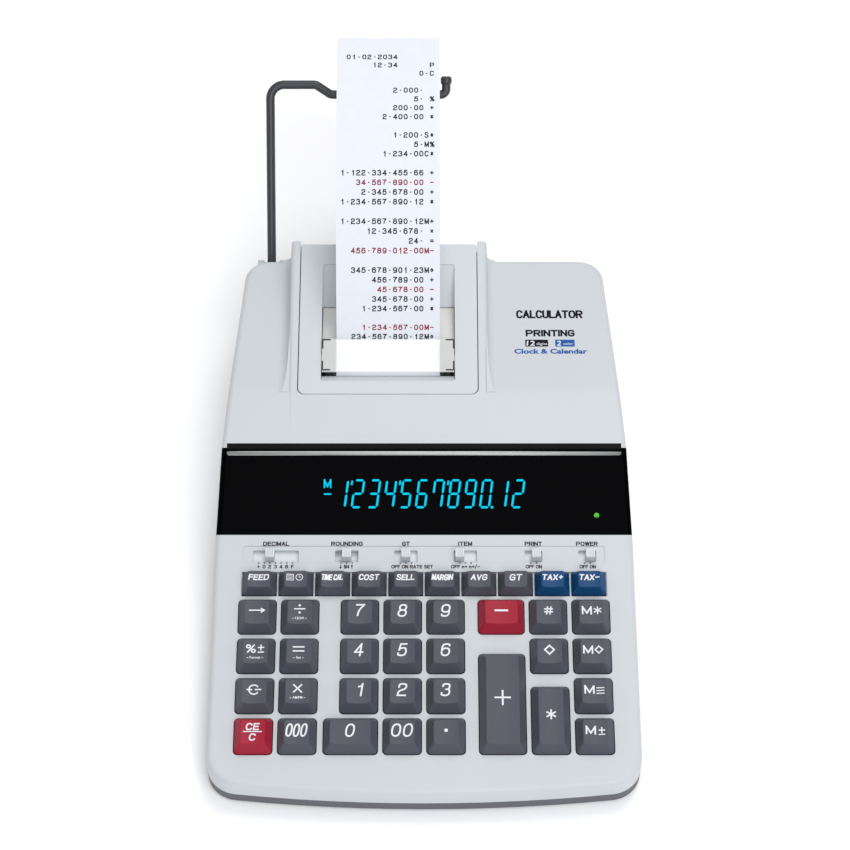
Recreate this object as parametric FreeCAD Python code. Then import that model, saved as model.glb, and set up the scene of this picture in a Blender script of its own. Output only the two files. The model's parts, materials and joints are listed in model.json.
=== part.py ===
import FreeCAD, Part
import math
import os

# A printing desk calculator, in millimetres. While it is modelled, x runs to the right of the
# middle, y back from the front edge and z up from the table. Each piece is then moved so that
# the origin lies on the table, under the middle of the whole footprint.

V = FreeCAD.Vector

# Clearances
SKIRT_CLEARANCE = 0.5     # each side of a key in its opening
SMALL_SIDE_CLEARANCE = 0.15   # left and right of a small key in its opening
MOVING_GAP = 0.4          # between a moving moulding and the one beside it
RUNNING = 0.06            # radial clearance of a pin that turns in a hole
PILOT_CLEARANCE = 0.02    # radial clearance of a screw in the boss that it is driven into
SEAT_GAP = 0.1            # round a piece that lies fixed in a seat

# Walls
WALL = 2.2
BOARD_T = 1.6
FOOT_H = 2.5
PARTING_Z = 9.0           # the joint between the base and the top moulding

# Keyboard
KEY_PITCH = 22.9          # across
ROW_PITCH = 23.0          # along the deck
RIB = 2.1                 # deck left between two key openings
LEFT_GROUP_GAP = 11.2     # between the function keys and the numbers
RIGHT_GROUP_GAP = 6.65    # between the numbers and the plus key
PLUS_EXTRA_W = 4.5        # how much wider the plus key is than the others
ZERO_EXTRA_W = 8.3        # how much wider the zero key is than the others
PLUS_GAP = 11.1           # deck left behind the plus key, which is three rows long
STAR_GAP = 7.1            # deck left behind the total key, which is two rows long
OPENING_R = 2.5
SIDE_MARGIN = 13.9        # from the outer key openings to the side wall
FRONT_MARGIN = 21.3       # from the front edge to the first row of openings
SMALL_ROW_GAP = 1.9
SMALL_PITCH = 19.7
SMALL_DEPTH = 14.7
SMALL_RIB = 0.9
SMALL_RIB_DROP = 1.2
SMALL_OPENING_R = 0.4
SMALL_COUNT = 10
KEY_H = 7.0               # a key's top above the deck
KEY_INSET = 3.5           # from the skirt to the top face, on each side
SMALL_KEY_INSET = 3.3
SMALL_KEY_INSET_U = 2.3
KEY_DISH = 0.7
KEY_EDGE_R = 0.5
KEY_SKIRT_R = 2.2
KEY_TOP_R = 1.3
KEY_WALL = 1.4
KEY_TRAVEL = 3.0
KEY_LIP = 1.2             # what holds a key in, past its skirt at the front and rear
KEY_LIP_T = 0.8
KEY_LIP_INSET = 3.0       # from the key's sides to the ends of its lips
KEY_FOOT_H = 0.6          # height above the deck where the skirt starts to lean
KEY_ROOM_R = 0.8          # inside corners of the hollow key
STEM_R = 2.0
DOME_GAP = 1.0            # round a stem inside its rubber collar
DOME_WALL = 1.2
DOME_H = 3.0
BOARD_CLEARANCE = 0.6     # under a stem at full travel
BOARD_GAP = 0.6           # from the key board to the mouldings beside it
STEM_DROP = 7.4           # from the deck down to a stem's end

# Slide switches
STRIP_GAP = 5.45
STRIP_DEPTH = 10.3
STRIP_DROP = 0.5
STRIP_HALF = 98.0
DETENT = 3.05
KNOB_W = 5.0
KNOB_D = 5.5
KNOB_H = 4.5
KNOB_R = 0.5
GROOVE_W = 0.7            # of the finger grooves in a knob
GROOVE_PITCH = 1.2
SLOT_END_GAP = 0.75
SLOT_DEPTH = 7.1
SHUTTER_T = 0.8
SHUTTER_LAP = 1.0         # how far a shutter reaches past its slot, front and rear
# name, x of the first position, positions, the position that it stands in, the shutter's level
SWITCHES = (
    ("switch_decimal", -89.5, 7, 2, 0),
    ("switch_rounding", -44.95, 3, 1, 1),
    ("switch_total", -12.9, 3, 1, 0),
    ("switch_item", 19.3, 3, 0, 0),
    ("switch_print", 57.75, 2, 1, 0),
    ("switch_power", 86.9, 2, 1, 0),
)

# Body
DECK_ANGLE = 6.5
DECK_FRONT_Z = 19.5
PANEL_GAP = 6.35          # from the switch strip to the display panel
PANEL_ANGLE = 32.0
PANEL_LENGTH = 48.8
SLOPE_ANGLE = 7.9         # of the front slope and the printer housing's top
SLOPE_LENGTH = 33.9       # from the panel to the crest of the side decks
REAR_LENGTH = 97.0        # from that crest to the rear wall
REAR_FALL_ANGLE = -1.8    # of the side decks behind the crest
TAPER = 0.071             # millimetres inward for each millimetre back, past the deck
FRONT_BOW_R = 912.0
FRONT_CORNER_R = 17.0
REAR_CORNER_R = 14.0
EDGE_R = 3.0
CREST_R = 40.0

# Display
WINDOW_T = 2.5
WINDOW_MARGIN = 0.35
TUBE_X = 4.0              # middle of the display tube
TUBE_W = 124.0
TUBE_D = 24.0
TUBE_T = 6.0
TUBE_MIDDLE = 23.0        # up the panel
TUBE_DROP = 6.3           # from the window's face to the tube
LED_X = 93.9
LED_UP = 10.6
LED_R = 1.4

# Printer housing, cover and paper
PAPER_W = 57.5
PAPER_T = 0.25
PAPER_X = -20.0
HOUSING_MARGIN = 5.5      # from the cover to the housing's flank
HOUSING_DRAFT = 0.07
HOUSING_EDGE_R = 2.4
FLANK_FILLET_R = 5.0
MOUTH_MARGIN = 8.4        # from the paper to the side of the cover's mouth
COVER_BORDER = 12.6       # from the mouth to the cover's side
COVER_FRONT = 32.5        # along the slope from the panel
COVER_MOUTH = 8.3         # from the cover's front edge to the mouth
COVER_CORNER_R = 4.0
COVER_REAR_GAP = 2.0      # from the cover to the rear wall
LEDGE_D = 2.5             # of the ledge under the cover's front edge
LEDGE_T = 1.6
CHUTE_TOP = 13.5          # from the cover's rear edge to the chute's upper end
CHUTE_LENGTH = 23.8
CHUTE_DEPTH = 7.0
CHUTE_T = 1.5
MOUTH_R = 1.5
HINGE_SETBACK = 3.8       # from the cover's rear edge to its hinge
HINGE_DROP = 5.5
HINGE_R = 1.5
LUG_R = 3.2
LUG_W = 3.0
NOTCH_DEPTH = 15.0        # of the paper inlet in the rear wall
CUTTER_FRONT = 5.7        # from the mouth's front edge to the cutter
CUTTER_LENGTH = 20.0
CUTTER_T = 1.2
CUTTER_RISE = 1.6         # of the serrated edge above the cover
TOOTH = 1.45
TOOTH_H = 0.9
CLIP_W = 9.0              # of the clips that hold the cutter to the cover
CLIP_T = 1.4
PLATEN_R = 6.0
PLATEN_BACK = 7.7         # from the mouth's front edge to the platen's axis
PLATEN_DROP = 11.7
AXLE_R = 2.0
CHEEK_T = 3.5
CHEEK_GAP = 2.5           # from the paper to the printer's side cheeks
CHEEK_BOTTOM_Z = 12.0
SPOOL_R = 6.0             # of the two ink ribbon spools
SPOOL_H = 7.0
SPOOL_BACK = 12.0         # behind the platen's axis, clear of its gear
GEAR_W = 3.0
DRIVE_GEAR_R = 4.2        # on the platen's axle

# Paper tape, roll and arm
TAPE_END_BACK = 146.0     # from the cutter's edge to the free end
TAPE_END_UP = 88.5
TAPE_HALF_TURN = 26.0     # degrees
ROLL_R = 27.0
CORE_R = 6.0
ARM_R = 2.5
ARM_X = -88.5
ARM_PIVOT_BACK = 7.5      # behind the rear wall
ARM_PIVOT_Z = 45.0
ARM_LEAN = 45.1
ARM_REACH = 101.7         # from the pivot to the middle of the cradle
ARM_SHOULDER = 5.6        # past the cradle
ARM_TIP = 10.4
ARM_BEND_R = 8.0
ARM_HUB_R = 5.0
ARM_HUB_W = 8.0
ARM_PIN_R = 2.0
EAR_T = 3.5
TIP_R = 3.2

# Rear wall, feet and screws
OUTLET_R = 3.2
OUTLET_X = 78.0
OUTLET_Z = 20.0
OUTLET_LENGTH = 5.0
FOOT_R = 6.5
FOOT_SEAT = 1.0
SCREW_R = 1.4
SCREW_HEAD_R = 2.8
SCREW_HEAD_H = 2.0
SCREW_SINK = 0.9
BOSS_R = 3.4
BOSS_INSET = 8.6          # from the side wall to a screw
SCREW_LENGTH = 20.0
SCREW_FRONT_Y = 34.0
SCREW_REAR_INSET = 16.0
SCREW_HOLE_CLEARANCE = 0.2
FOOT_INSET = 22.0         # from the side and rear walls to a foot's middle
FOOT_FRONT_Y = 26.0

# Inside the case
POST_R = 2.5
POST_INSET = 4.0          # from the key board's side edge to its outer posts
POST_PLACES_U = (60.0, 128.0)
POWER_Z = 9.0
POWER_POST_R = 3.0
POWER_POST_INSET = 5.0
TRANSFORMER_H = 36.0
CAPACITOR_R = 6.5
CAPACITOR_H = 26.0
SINK_H = 22.0

# What follows from them
OPENING_W = KEY_PITCH - RIB
OPENING_D = ROW_PITCH - RIB
KEY_FIELD = 7 * OPENING_W + (OPENING_W + PLUS_EXTRA_W) + 5 * RIB + LEFT_GROUP_GAP + RIGHT_GROUP_GAP
HALF_BASE = KEY_FIELD / 2 + SIDE_MARGIN
SMALL_ROW_START = FRONT_MARGIN + 4 * ROW_PITCH - RIB + SMALL_ROW_GAP
STRIP_START = SMALL_ROW_START + SMALL_DEPTH + STRIP_GAP
SLOT_MIDDLE = STRIP_START + 0.7 + SLOT_DEPTH / 2
DECK_LENGTH = STRIP_START + STRIP_DEPTH + PANEL_GAP
LIP_DROP = WALL + SKIRT_CLEARANCE
BOARD_DROP = STEM_DROP + KEY_TRAVEL + BOARD_CLEARANCE
BOARD_HALF = HALF_BASE - BOSS_INSET - BOSS_R - BOARD_GAP
WINDOW_END = PANEL_LENGTH - 3 * WINDOW_MARGIN


def along(y, z, angle, length):
    """The point at a length along a line that leaves (y, z) at an angle."""
    turn = math.radians(angle)
    return y + length * math.cos(turn), z + length * math.sin(turn)


PANEL_Y, PANEL_Z = along(0, DECK_FRONT_Z, DECK_ANGLE, DECK_LENGTH)
SLOPE_Y, SLOPE_Z = along(PANEL_Y, PANEL_Z, PANEL_ANGLE, PANEL_LENGTH)
CREST_Y, CREST_Z = along(SLOPE_Y, SLOPE_Z, SLOPE_ANGLE - 0.4, SLOPE_LENGTH)
BODY_D = CREST_Y + REAR_LENGTH
REAR_HALF = HALF_BASE - TAPER * (BODY_D - PANEL_Y)
COVER_REAR = (BODY_D - SLOPE_Y) / math.cos(math.radians(SLOPE_ANGLE)) - COVER_REAR_GAP
MOUTH_FRONT = COVER_FRONT + COVER_MOUTH
MOUTH_REAR = COVER_REAR - CHUTE_TOP - CHUTE_LENGTH
MOUTH_HALF = PAPER_W / 2 + MOUTH_MARGIN
COVER_HALF = MOUTH_HALF + COVER_BORDER
HOUSING_HALF = COVER_HALF + HOUSING_MARGIN
HINGE_ALONG = COVER_REAR - HINGE_SETBACK
PLATEN_ALONG = MOUTH_FRONT + PLATEN_BACK
CUTTER_START = MOUTH_FRONT + CUTTER_FRONT
CUTTER_END = CUTTER_START + CUTTER_LENGTH
CHEEK_INNER = PAPER_W / 2 + CHEEK_GAP
ARM_PIVOT_Y = BODY_D + ARM_PIVOT_BACK
CRADLE_Y, CRADLE_Z = along(ARM_PIVOT_Y, ARM_PIVOT_Z, ARM_LEAN, ARM_REACH)
ROLL_Z = CRADLE_Z - (CORE_R - ARM_R - 0.3)
ORIGIN_Y = (CRADLE_Y + ROLL_R) / 2

SIDEWAYS = FreeCAD.Rotation(V(1, 1, 1), 120)


def frame(y, z, angle):
    """A frame whose second axis climbs at an angle and whose third is that surface's normal."""
    return FreeCAD.Placement(V(0, y, z), FreeCAD.Rotation(V(1, 0, 0), angle))


DECK = frame(0, DECK_FRONT_Z, DECK_ANGLE)
PANEL = frame(PANEL_Y, PANEL_Z, PANEL_ANGLE)
SLOPE = frame(SLOPE_Y, SLOPE_Z, SLOPE_ANGLE)
ARM = frame(ARM_PIVOT_Y, ARM_PIVOT_Z, ARM_LEAN)


def placed(shape, placement):
    """The shape moved from a local frame into the object's."""
    moved = shape.copy()
    moved.Placement = placement.multiply(moved.Placement)
    return moved


def box(x0, x1, y0, y1, z0, z1):
    return Part.makeBox(x1 - x0, y1 - y0, z1 - z0, V(x0, y0, z0))


def rounded_edges(points, closed):
    """Straight runs and tangent arcs through (a, b, radius) corners in the local XY plane."""
    count = len(points)
    joints = []
    for i, (a, b, radius) in enumerate(points):
        here = V(a, b, 0)
        if radius == 0 or (not closed and i in (0, count - 1)):
            joints.append((here, here, here))
            continue
        back = (V(*points[i - 1][:2], 0) - here).normalize()
        ahead = (V(*points[(i + 1) % count][:2], 0) - here).normalize()
        half = back.getAngle(ahead) / 2
        reach = radius / math.tan(half)
        middle = here + (back + ahead).normalize() * (radius / math.sin(half) - radius)
        joints.append((here + back * reach, middle, here + ahead * reach))
    edges = []
    for i, (start, middle, end) in enumerate(joints):
        if (end - start).Length > 1e-6:
            edges.append(Part.Arc(start, middle, end).toShape())
        if closed or i < count - 1:
            after = joints[(i + 1) % count][0]
            if (after - end).Length > 1e-6:
                edges.append(Part.LineSegment(end, after).toShape())
    return edges


def rounded_wire(corners, height=0.0):
    wire = Part.Wire(rounded_edges(corners, True))
    wire.translate(V(0, 0, height))
    return wire


def rectangle(x0, x1, y0, y1, radius):
    return [(x0, y0, radius), (x1, y0, radius), (x1, y1, radius), (x0, y1, radius)]


def rounded_box(x0, x1, y0, y1, z0, z1, radius):
    face = Part.Face(rounded_wire(rectangle(x0, x1, y0, y1, radius), z0))
    return face.extrude(V(0, 0, z1 - z0))


def side_prism(corners, x0, x1):
    """A (y, z, radius) outline as seen from the side, extruded from x0 to x1."""
    prism = Part.Face(rounded_wire(corners, x0)).extrude(V(0, 0, x1 - x0))
    return placed(prism, FreeCAD.Placement(V(0, 0, 0), SIDEWAYS))


def cylinder_x(radius, x0, x1, y, z):
    return Part.makeCylinder(radius, x1 - x0, V(x0, y, z), V(1, 0, 0))


def inset_corners(points, insets):
    """Corners of a counter-clockwise outline after each side has moved in by its own inset."""
    count = len(points)
    lines = []
    for i in range(count):
        start = V(*points[i], 0)
        way = (V(*points[(i + 1) % count], 0) - start).normalize()
        lines.append((start + V(-way.y, way.x, 0) * insets[i], way))
    corners = []
    for i in range(count):
        (p, d), (q, e) = lines[i - 1], lines[i]
        reach = ((q.x - p.x) * e.y - (q.y - p.y) * e.x) / (d.x * e.y - d.y * e.x)
        corners.append((p.x + d.x * reach, p.y + d.y * reach))
    return corners


def body_profile(inset, panel_inset):
    """The side outline over the side decks, with the rounding of its creases."""
    past = 30.0
    rear_y, rear_z = along(CREST_Y, CREST_Z, REAR_FALL_ANGLE, REAR_LENGTH + past)
    front_y, front_z = along(0, DECK_FRONT_Z, DECK_ANGLE, -past)
    points = [(front_y, -past), (rear_y, -past), (rear_y, rear_z), (CREST_Y, CREST_Z)]
    points += [(SLOPE_Y, SLOPE_Z), (PANEL_Y, PANEL_Z), (front_y, front_z)]
    corners = inset_corners(points, (0, 0, inset, inset, panel_inset, inset, 0))
    radii = (0, 0, 0, CREST_R, EDGE_R, EDGE_R, 0)
    return [(y, z, radius) for (y, z), radius in zip(corners, radii)]


def plan_face(z, inset):
    """The plan outline at one height: a bowed front, parallel sides and a tapered rear."""
    half = HALF_BASE - inset
    rear_half = REAR_HALF - inset
    bow = FRONT_BOW_R - math.sqrt(FRONT_BOW_R ** 2 - half ** 2)
    left, right = V(-half, inset + bow, z), V(half, inset + bow, z)
    points = [right, V(half, PANEL_Y, z), V(rear_half, BODY_D - inset, z)]
    points += [V(-rear_half, BODY_D - inset, z), V(-half, PANEL_Y, z), left]
    edges = [Part.Arc(left, V(0, inset, z), right).toShape()]
    edges += [Part.LineSegment(a, b).toShape() for a, b in zip(points, points[1:])]
    return Part.Face(Part.Wire(edges))


def plan_solid(inset, z0, z1):
    """The upright block that the plan outline makes, with its corners rounded."""
    solid = plan_face(z0, inset).extrude(V(0, 0, z1 - z0))
    upright = [e for e in solid.Edges if e.BoundBox.ZLength > 0.9 * (z1 - z0)]
    front = [e for e in upright if e.BoundBox.YMax < PANEL_Y / 2]
    solid = solid.makeFillet(FRONT_CORNER_R - inset, front)
    upright = [e for e in solid.Edges if e.BoundBox.ZLength > 0.9 * (z1 - z0)]
    rear = [e for e in upright if e.BoundBox.YMin > BODY_D - inset - 1]
    return solid.makeFillet(REAR_CORNER_R - inset, rear)


def rim_edges(solid, bottom):
    """The edges round the top of the body: not its foot, its upright seams or its creases."""
    found = []
    for edge in solid.Edges:
        room = edge.BoundBox
        upright = room.ZLength > 0.8 * edge.Length
        crease = room.XLength > KEY_FIELD / 2 and EDGE_R < room.YMin and room.YMax < BODY_D - EDGE_R
        if room.ZMax > bottom + 1 and not upright and not crease:
            found.append(edge)
    return found


def outer_body():
    """The body's outside without the printer housing, edges rounded."""
    top = SLOPE_Z + REAR_LENGTH
    body = plan_solid(0, PARTING_Z, top).common(
        side_prism(body_profile(0, 0), -HALF_BASE - 5, HALF_BASE + 5)
    )
    return body.makeFillet(EDGE_R, rim_edges(body, PARTING_Z))


def housing(inset):
    """The raised printer housing, from inside the front slope to the rear wall."""
    depth = 30.0
    half = HOUSING_HALF - inset
    foot = half + HOUSING_DRAFT * depth
    start, end = inset + 6.0, COVER_REAR + 20
    top = rounded_wire(rectangle(PAPER_X - half, PAPER_X + half, start, end, 0), -inset)
    low = rounded_wire(rectangle(PAPER_X - foot, PAPER_X + foot, start, end, 0), -depth)
    block = Part.makeLoft([low, top], True, True)
    if inset == 0:
        long_edges = [
            e for e in block.Edges
            if e.BoundBox.YLength > 50 and e.BoundBox.ZMin > -0.01
        ]
        block = block.makeFillet(HOUSING_EDGE_R, long_edges)
    return placed(block, SLOPE).common(plan_solid(inset, PARTING_Z, SLOPE_Z + REAR_LENGTH))


def flank_fillet(side):
    """The concave fillet between a side deck and the housing's flank."""
    lean = math.atan(HOUSING_DRAFT)
    tangent = FLANK_FILLET_R / math.tan(math.radians(45) + lean / 2)
    sunk = 1.0
    up = (-tangent * math.sin(lean), tangent * math.cos(lean))
    turn = math.pi / 4 + lean / 2
    centre = (tangent, FLANK_FILLET_R)
    middle = V(
        centre[0] - FLANK_FILLET_R * math.cos(turn - lean),
        centre[1] - FLANK_FILLET_R * math.sin(turn - lean),
        0,
    )
    points = [V(up[0], up[1], 0), V(up[0] - sunk, up[1], 0), V(-sunk - 0.3, -sunk, 0)]
    points += [V(tangent, -sunk, 0), V(tangent, 0, 0)]
    edges = [Part.LineSegment(a, b).toShape() for a, b in zip(points, points[1:])]
    edges.append(Part.Arc(points[-1], middle, points[0]).toShape())
    section = Part.Face(Part.Wire(edges))
    strip = section.extrude(V(0, 0, -REAR_LENGTH - 5))
    stand = FreeCAD.Rotation(V(1, 0, 0), 90 + REAR_FALL_ANGLE)
    strip = placed(strip, FreeCAD.Placement(V(0, CREST_Y, CREST_Z), stand))
    if side < 0:
        strip = strip.mirror(V(0, 0, 0), V(1, 0, 0))
    rise = math.tan(math.radians(SLOPE_ANGLE - REAR_FALL_ANGLE)) * REAR_LENGTH / 2
    strip.translate(V(PAPER_X + side * (HOUSING_HALF + HOUSING_DRAFT * rise), 0, 0))
    under = placed(box(-300, 300, -50, 400, -60, 0), SLOPE)
    return strip.common(under).common(plan_solid(0, PARTING_Z, SLOPE_Z + REAR_LENGTH))


def main_columns():
    """(left edge, width) of each of the eight columns of key openings."""
    columns = []
    x = -KEY_FIELD / 2
    for i in range(8):
        width = OPENING_W + (PLUS_EXTRA_W if i == 5 else 0)
        columns.append((x, width))
        gap = {1: LEFT_GROUP_GAP, 4: RIGHT_GROUP_GAP}.get(i, RIB)
        x += width + gap
    return columns


def key_layout():
    """node: (x0, x1, u0, u1, small) of each key's opening, u running up the deck."""
    columns = main_columns()
    rows = (
        ("clear", "000", None, "00", "point", None, None, "memory_plus"),
        ("sign", "multiply", "1", "2", "3", None, None, "memory_minus"),
        ("percent", "equals", "4", "5", "6", None, "subtotal", "memory_subtotal"),
        ("shift", "divide", "7", "8", "9", "minus", "item_count", "memory_total"),
    )
    layout = {}

    def opening(column, row, extra_w=0.0, length=OPENING_D):
        x, width = columns[column]
        u = FRONT_MARGIN + row * ROW_PITCH
        return x - extra_w, x + width, u, u + length, False

    for row, names in enumerate(rows):
        for column, name in enumerate(names):
            if name:
                layout["key_" + name] = opening(column, row)
    layout["key_0"] = opening(2, 0, ZERO_EXTRA_W)
    layout["key_plus"] = opening(5, 0, 0, 3 * ROW_PITCH - PLUS_GAP)
    layout["key_total"] = opening(6, 0, 0, 2 * ROW_PITCH - STAR_GAP)
    small = ("feed", "clock", "time", "cost", "sell", "margin", "average", "grand_total")
    small += ("tax_plus", "tax_minus")
    for i, name in enumerate(small):
        left = (i - SMALL_COUNT / 2) * SMALL_PITCH + SMALL_RIB / 2
        right = left + SMALL_PITCH - SMALL_RIB
        layout["key_" + name] = (left, right, SMALL_ROW_START, SMALL_ROW_START + SMALL_DEPTH, True)
    return layout


LAYOUT = key_layout()


def switch_slot(first, positions):
    """Ends of a switch's slot across the deck."""
    reach = KNOB_W / 2 + SLOT_END_GAP
    return first - reach, first + (positions - 1) * DETENT + reach


def deck_cuts():
    """What is cut out of the deck: key openings, the switch recess and its slots."""
    cuts = []
    low, high = -WALL - 1, EDGE_R
    for x0, x1, u0, u1, small in LAYOUT.values():
        radius = SMALL_OPENING_R if small else OPENING_R
        cuts.append(rounded_box(x0, x1, u0, u1, low, high, radius))
    half = SMALL_COUNT / 2 * SMALL_PITCH
    end = SMALL_ROW_START + SMALL_DEPTH
    row = (-half, half, SMALL_ROW_START, end, -SMALL_RIB_DROP, high)
    cuts.append(rounded_box(*row, SMALL_OPENING_R))
    end = STRIP_START + STRIP_DEPTH
    cuts.append(rounded_box(-STRIP_HALF, STRIP_HALF, STRIP_START, end, -STRIP_DROP, high, 1.5))
    for _, first, positions, _, _ in SWITCHES:
        x0, x1 = switch_slot(first, positions)
        u0 = SLOT_MIDDLE - SLOT_DEPTH / 2
        cuts.append(rounded_box(x0, x1, u0, u0 + SLOT_DEPTH, low, high, 0.6))
    return [placed(cut, DECK) for cut in cuts]


def panel_cuts():
    """The window's seat, and the openings behind it for the display and the lamp."""
    wide = HALF_BASE + 10
    seat = box(-wide, wide, WINDOW_MARGIN - SEAT_GAP, WINDOW_END + SEAT_GAP, -WINDOW_T, 20)
    x0, x1 = TUBE_X - TUBE_W / 2, TUBE_X + TUBE_W / 2
    low, high = TUBE_MIDDLE - TUBE_D / 2, TUBE_MIDDLE + TUBE_D / 2
    view = box(x0, x1, low, high, -WINDOW_T - WALL - 1, 0)
    hole = Part.makeCylinder(LED_R + 1, WALL + 2, V(LED_X, LED_UP, -WINDOW_T - WALL - 1))
    return [placed(cut, PANEL) for cut in (seat, view, hole)]


def cover_cuts():
    """The hole that the cover closes, and the paper inlet below its rear edge."""
    x0, x1 = PAPER_X - COVER_HALF - MOVING_GAP, PAPER_X + COVER_HALF + MOVING_GAP
    start = COVER_FRONT - MOVING_GAP
    hole = rounded_box(x0, x1, start, COVER_REAR + 40, -WALL - 3, 10, COVER_CORNER_R)
    notch = box(x0, x1, COVER_REAR - 6, COVER_REAR + 40, -NOTCH_DEPTH, 10)
    return [placed(cut, SLOPE) for cut in (hole, notch)]


def screw_places():
    """Plan positions of the case screws, tied to the walls."""
    front = (HALF_BASE - BOSS_INSET, SCREW_FRONT_Y)
    rear = (REAR_HALF - BOSS_INSET, BODY_D - SCREW_REAR_INSET)
    return [(side * x, y) for side in (-1, 1) for x, y in (front, rear)]


def ear(x0, x1):
    """An ear behind the rear wall that holds one of the arm's pins."""
    reach = ARM_HUB_R + 1
    ear_y, ear_z = ARM_PIVOT_Y, ARM_PIVOT_Z
    corners = [(BODY_D - 1, ear_z - reach - 4, 0), (ear_y + reach, ear_z - reach, reach * 0.9)]
    corners += [(ear_y + reach, ear_z + reach, reach * 0.9), (BODY_D - 1, ear_z + reach, 0)]
    plate = side_prism(corners, x0, x1)
    return plate.cut(cylinder_x(ARM_PIN_R + RUNNING, x0 - 1, x1 + 1, ear_y, ear_z))


def hinge_ears():
    """The two ears under the housing's top that hold the cover's hinge pins."""
    ears = []
    inner = COVER_HALF + MOVING_GAP
    outer = HOUSING_HALF - WALL / 2
    low = -HINGE_DROP - 2 * LUG_R
    for side in (-1, 1):
        x0, x1 = sorted((PAPER_X + side * inner, PAPER_X + side * outer))
        block = box(x0, x1, HINGE_ALONG - 2 * LUG_R, HINGE_ALONG + LUG_R, low, -WALL / 2)
        hole0, hole1 = sorted((PAPER_X + side * (inner - 1), PAPER_X + side * (outer - WALL / 2)))
        hole = cylinder_x(HINGE_R + RUNNING, hole0, hole1, HINGE_ALONG, -HINGE_DROP)
        ears.append(placed(block.cut(hole), SLOPE))
    return ears


def make_top_shell():
    outside = outer_body().fuse([housing(0), flank_fillet(-1), flank_fillet(1)]).removeSplitter()
    low = plan_solid(WALL, PARTING_Z - 5, SLOPE_Z + REAR_LENGTH)
    inner_profile = side_prism(
        body_profile(WALL, WALL + WINDOW_T), -HALF_BASE - 5, HALF_BASE + 5
    )
    inside = low.common(inner_profile).fuse(housing(WALL))
    shell = outside.cut(inside)
    additions = []
    for x, y in screw_places():
        boss = Part.makeCylinder(BOSS_R, 200, V(x, y, PARTING_Z))
        additions.append(boss.common(outside))
    outlet = V(OUTLET_X, BODY_D - OUTLET_LENGTH, OUTLET_Z)
    rearward = V(0, 1, 0)
    additions.append(Part.makeCylinder(OUTLET_R + WALL, OUTLET_LENGTH, outlet, rearward))
    half_hub = ARM_HUB_W / 2 + MOVING_GAP
    additions.append(ear(ARM_X - half_hub - EAR_T, ARM_X - half_hub))
    additions.append(ear(ARM_X + half_hub, ARM_X + half_hub + EAR_T))
    x0, x1 = PAPER_X - MOUTH_HALF, PAPER_X + MOUTH_HALF
    ledge_top = -WALL - MOVING_GAP
    low = ledge_top - LEDGE_T
    stop = box(x0, x1, COVER_FRONT - 2 * LEDGE_D, COVER_FRONT - MOVING_GAP, low, -WALL / 2)
    ledge = box(x0, x1, COVER_FRONT - 1, COVER_FRONT + LEDGE_D, low, ledge_top)
    shell = shell.fuse(additions + [placed(stop, SLOPE)])
    shell = shell.cut(deck_cuts() + panel_cuts() + cover_cuts())
    shell = shell.fuse(hinge_ears() + [placed(ledge, SLOPE)])
    holes = [Part.makeCylinder(OUTLET_R, OUTLET_LENGTH + 4, outlet - rearward * 2, rearward)]
    for x, y in screw_places():
        holes.append(Part.makeCylinder(SCREW_R + PILOT_CLEARANCE, SCREW_LENGTH, V(x, y, 0)))
    return shell.cut(holes)


def board_post(x, u):
    """A post from the base up to the underside of the key board."""
    depth = 60.0
    post = Part.makeCylinder(POST_R, depth, V(x, u, -BOARD_DROP - BOARD_T - depth))
    return placed(post, DECK)


def make_base_shell():
    block = plan_solid(0, FOOT_H, PARTING_Z)
    hollow = plan_solid(WALL, FOOT_H + WALL, PARTING_Z + 5)
    base = block.cut(hollow)
    floor = FOOT_H + WALL / 2
    room = plan_solid(WALL + 0.5, floor, SLOPE_Z)
    outer = BOARD_HALF - POST_INSET
    posts = [board_post(x, u).common(room) for x in (-outer, 0, outer) for u in POST_PLACES_U]
    for x, y in screw_places():
        posts.append(Part.makeCylinder(BOSS_R + 1, PARTING_Z - floor, V(x, y, floor)))
    for x, y in power_posts():
        posts.append(Part.makeCylinder(POWER_POST_R, POWER_Z - floor, V(x, y, floor)))
    start = printer_point(MOUTH_FRONT, 0)[0] + WALL
    end = start + 2 * CUTTER_LENGTH
    for x in (PAPER_X - CHEEK_INNER, PAPER_X + CHEEK_INNER):
        posts.append(box(x - CHEEK_T, x + CHEEK_T, start, end, floor, CHEEK_BOTTOM_Z))
    base = base.fuse(posts)
    holes = []
    for x, y in screw_places():
        shank_r, head_r = SCREW_R + SCREW_HOLE_CLEARANCE, SCREW_HEAD_R + SCREW_HOLE_CLEARANCE
        holes.append(Part.makeCylinder(shank_r, SCREW_LENGTH + PARTING_Z, V(x, y, 0)))
        holes.append(Part.makeCylinder(head_r, SCREW_SINK + SCREW_HEAD_H, V(x, y, FOOT_H)))
    for x, y in foot_places():
        holes.append(Part.makeCylinder(FOOT_R, FOOT_SEAT, V(x, y, FOOT_H)))
    return base.cut(holes)


def foot_places():
    """Plan positions of the rubber feet."""
    front = (HALF_BASE - FOOT_INSET, FOOT_FRONT_Y)
    rear = (REAR_HALF - FOOT_INSET, BODY_D - FOOT_INSET)
    return [(side * x, y) for side in (-1, 1) for x, y in (front, rear)]


def make_rubber_feet():
    feet = []
    for x, y in foot_places():
        foot = Part.makeCylinder(FOOT_R, FOOT_H + FOOT_SEAT, V(x, y, 0))
        rim = [e for e in foot.Edges if e.BoundBox.ZMax < 0.01]
        feet.append(foot.makeFillet(0.6, rim))
    return Part.makeCompound(feet)


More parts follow.
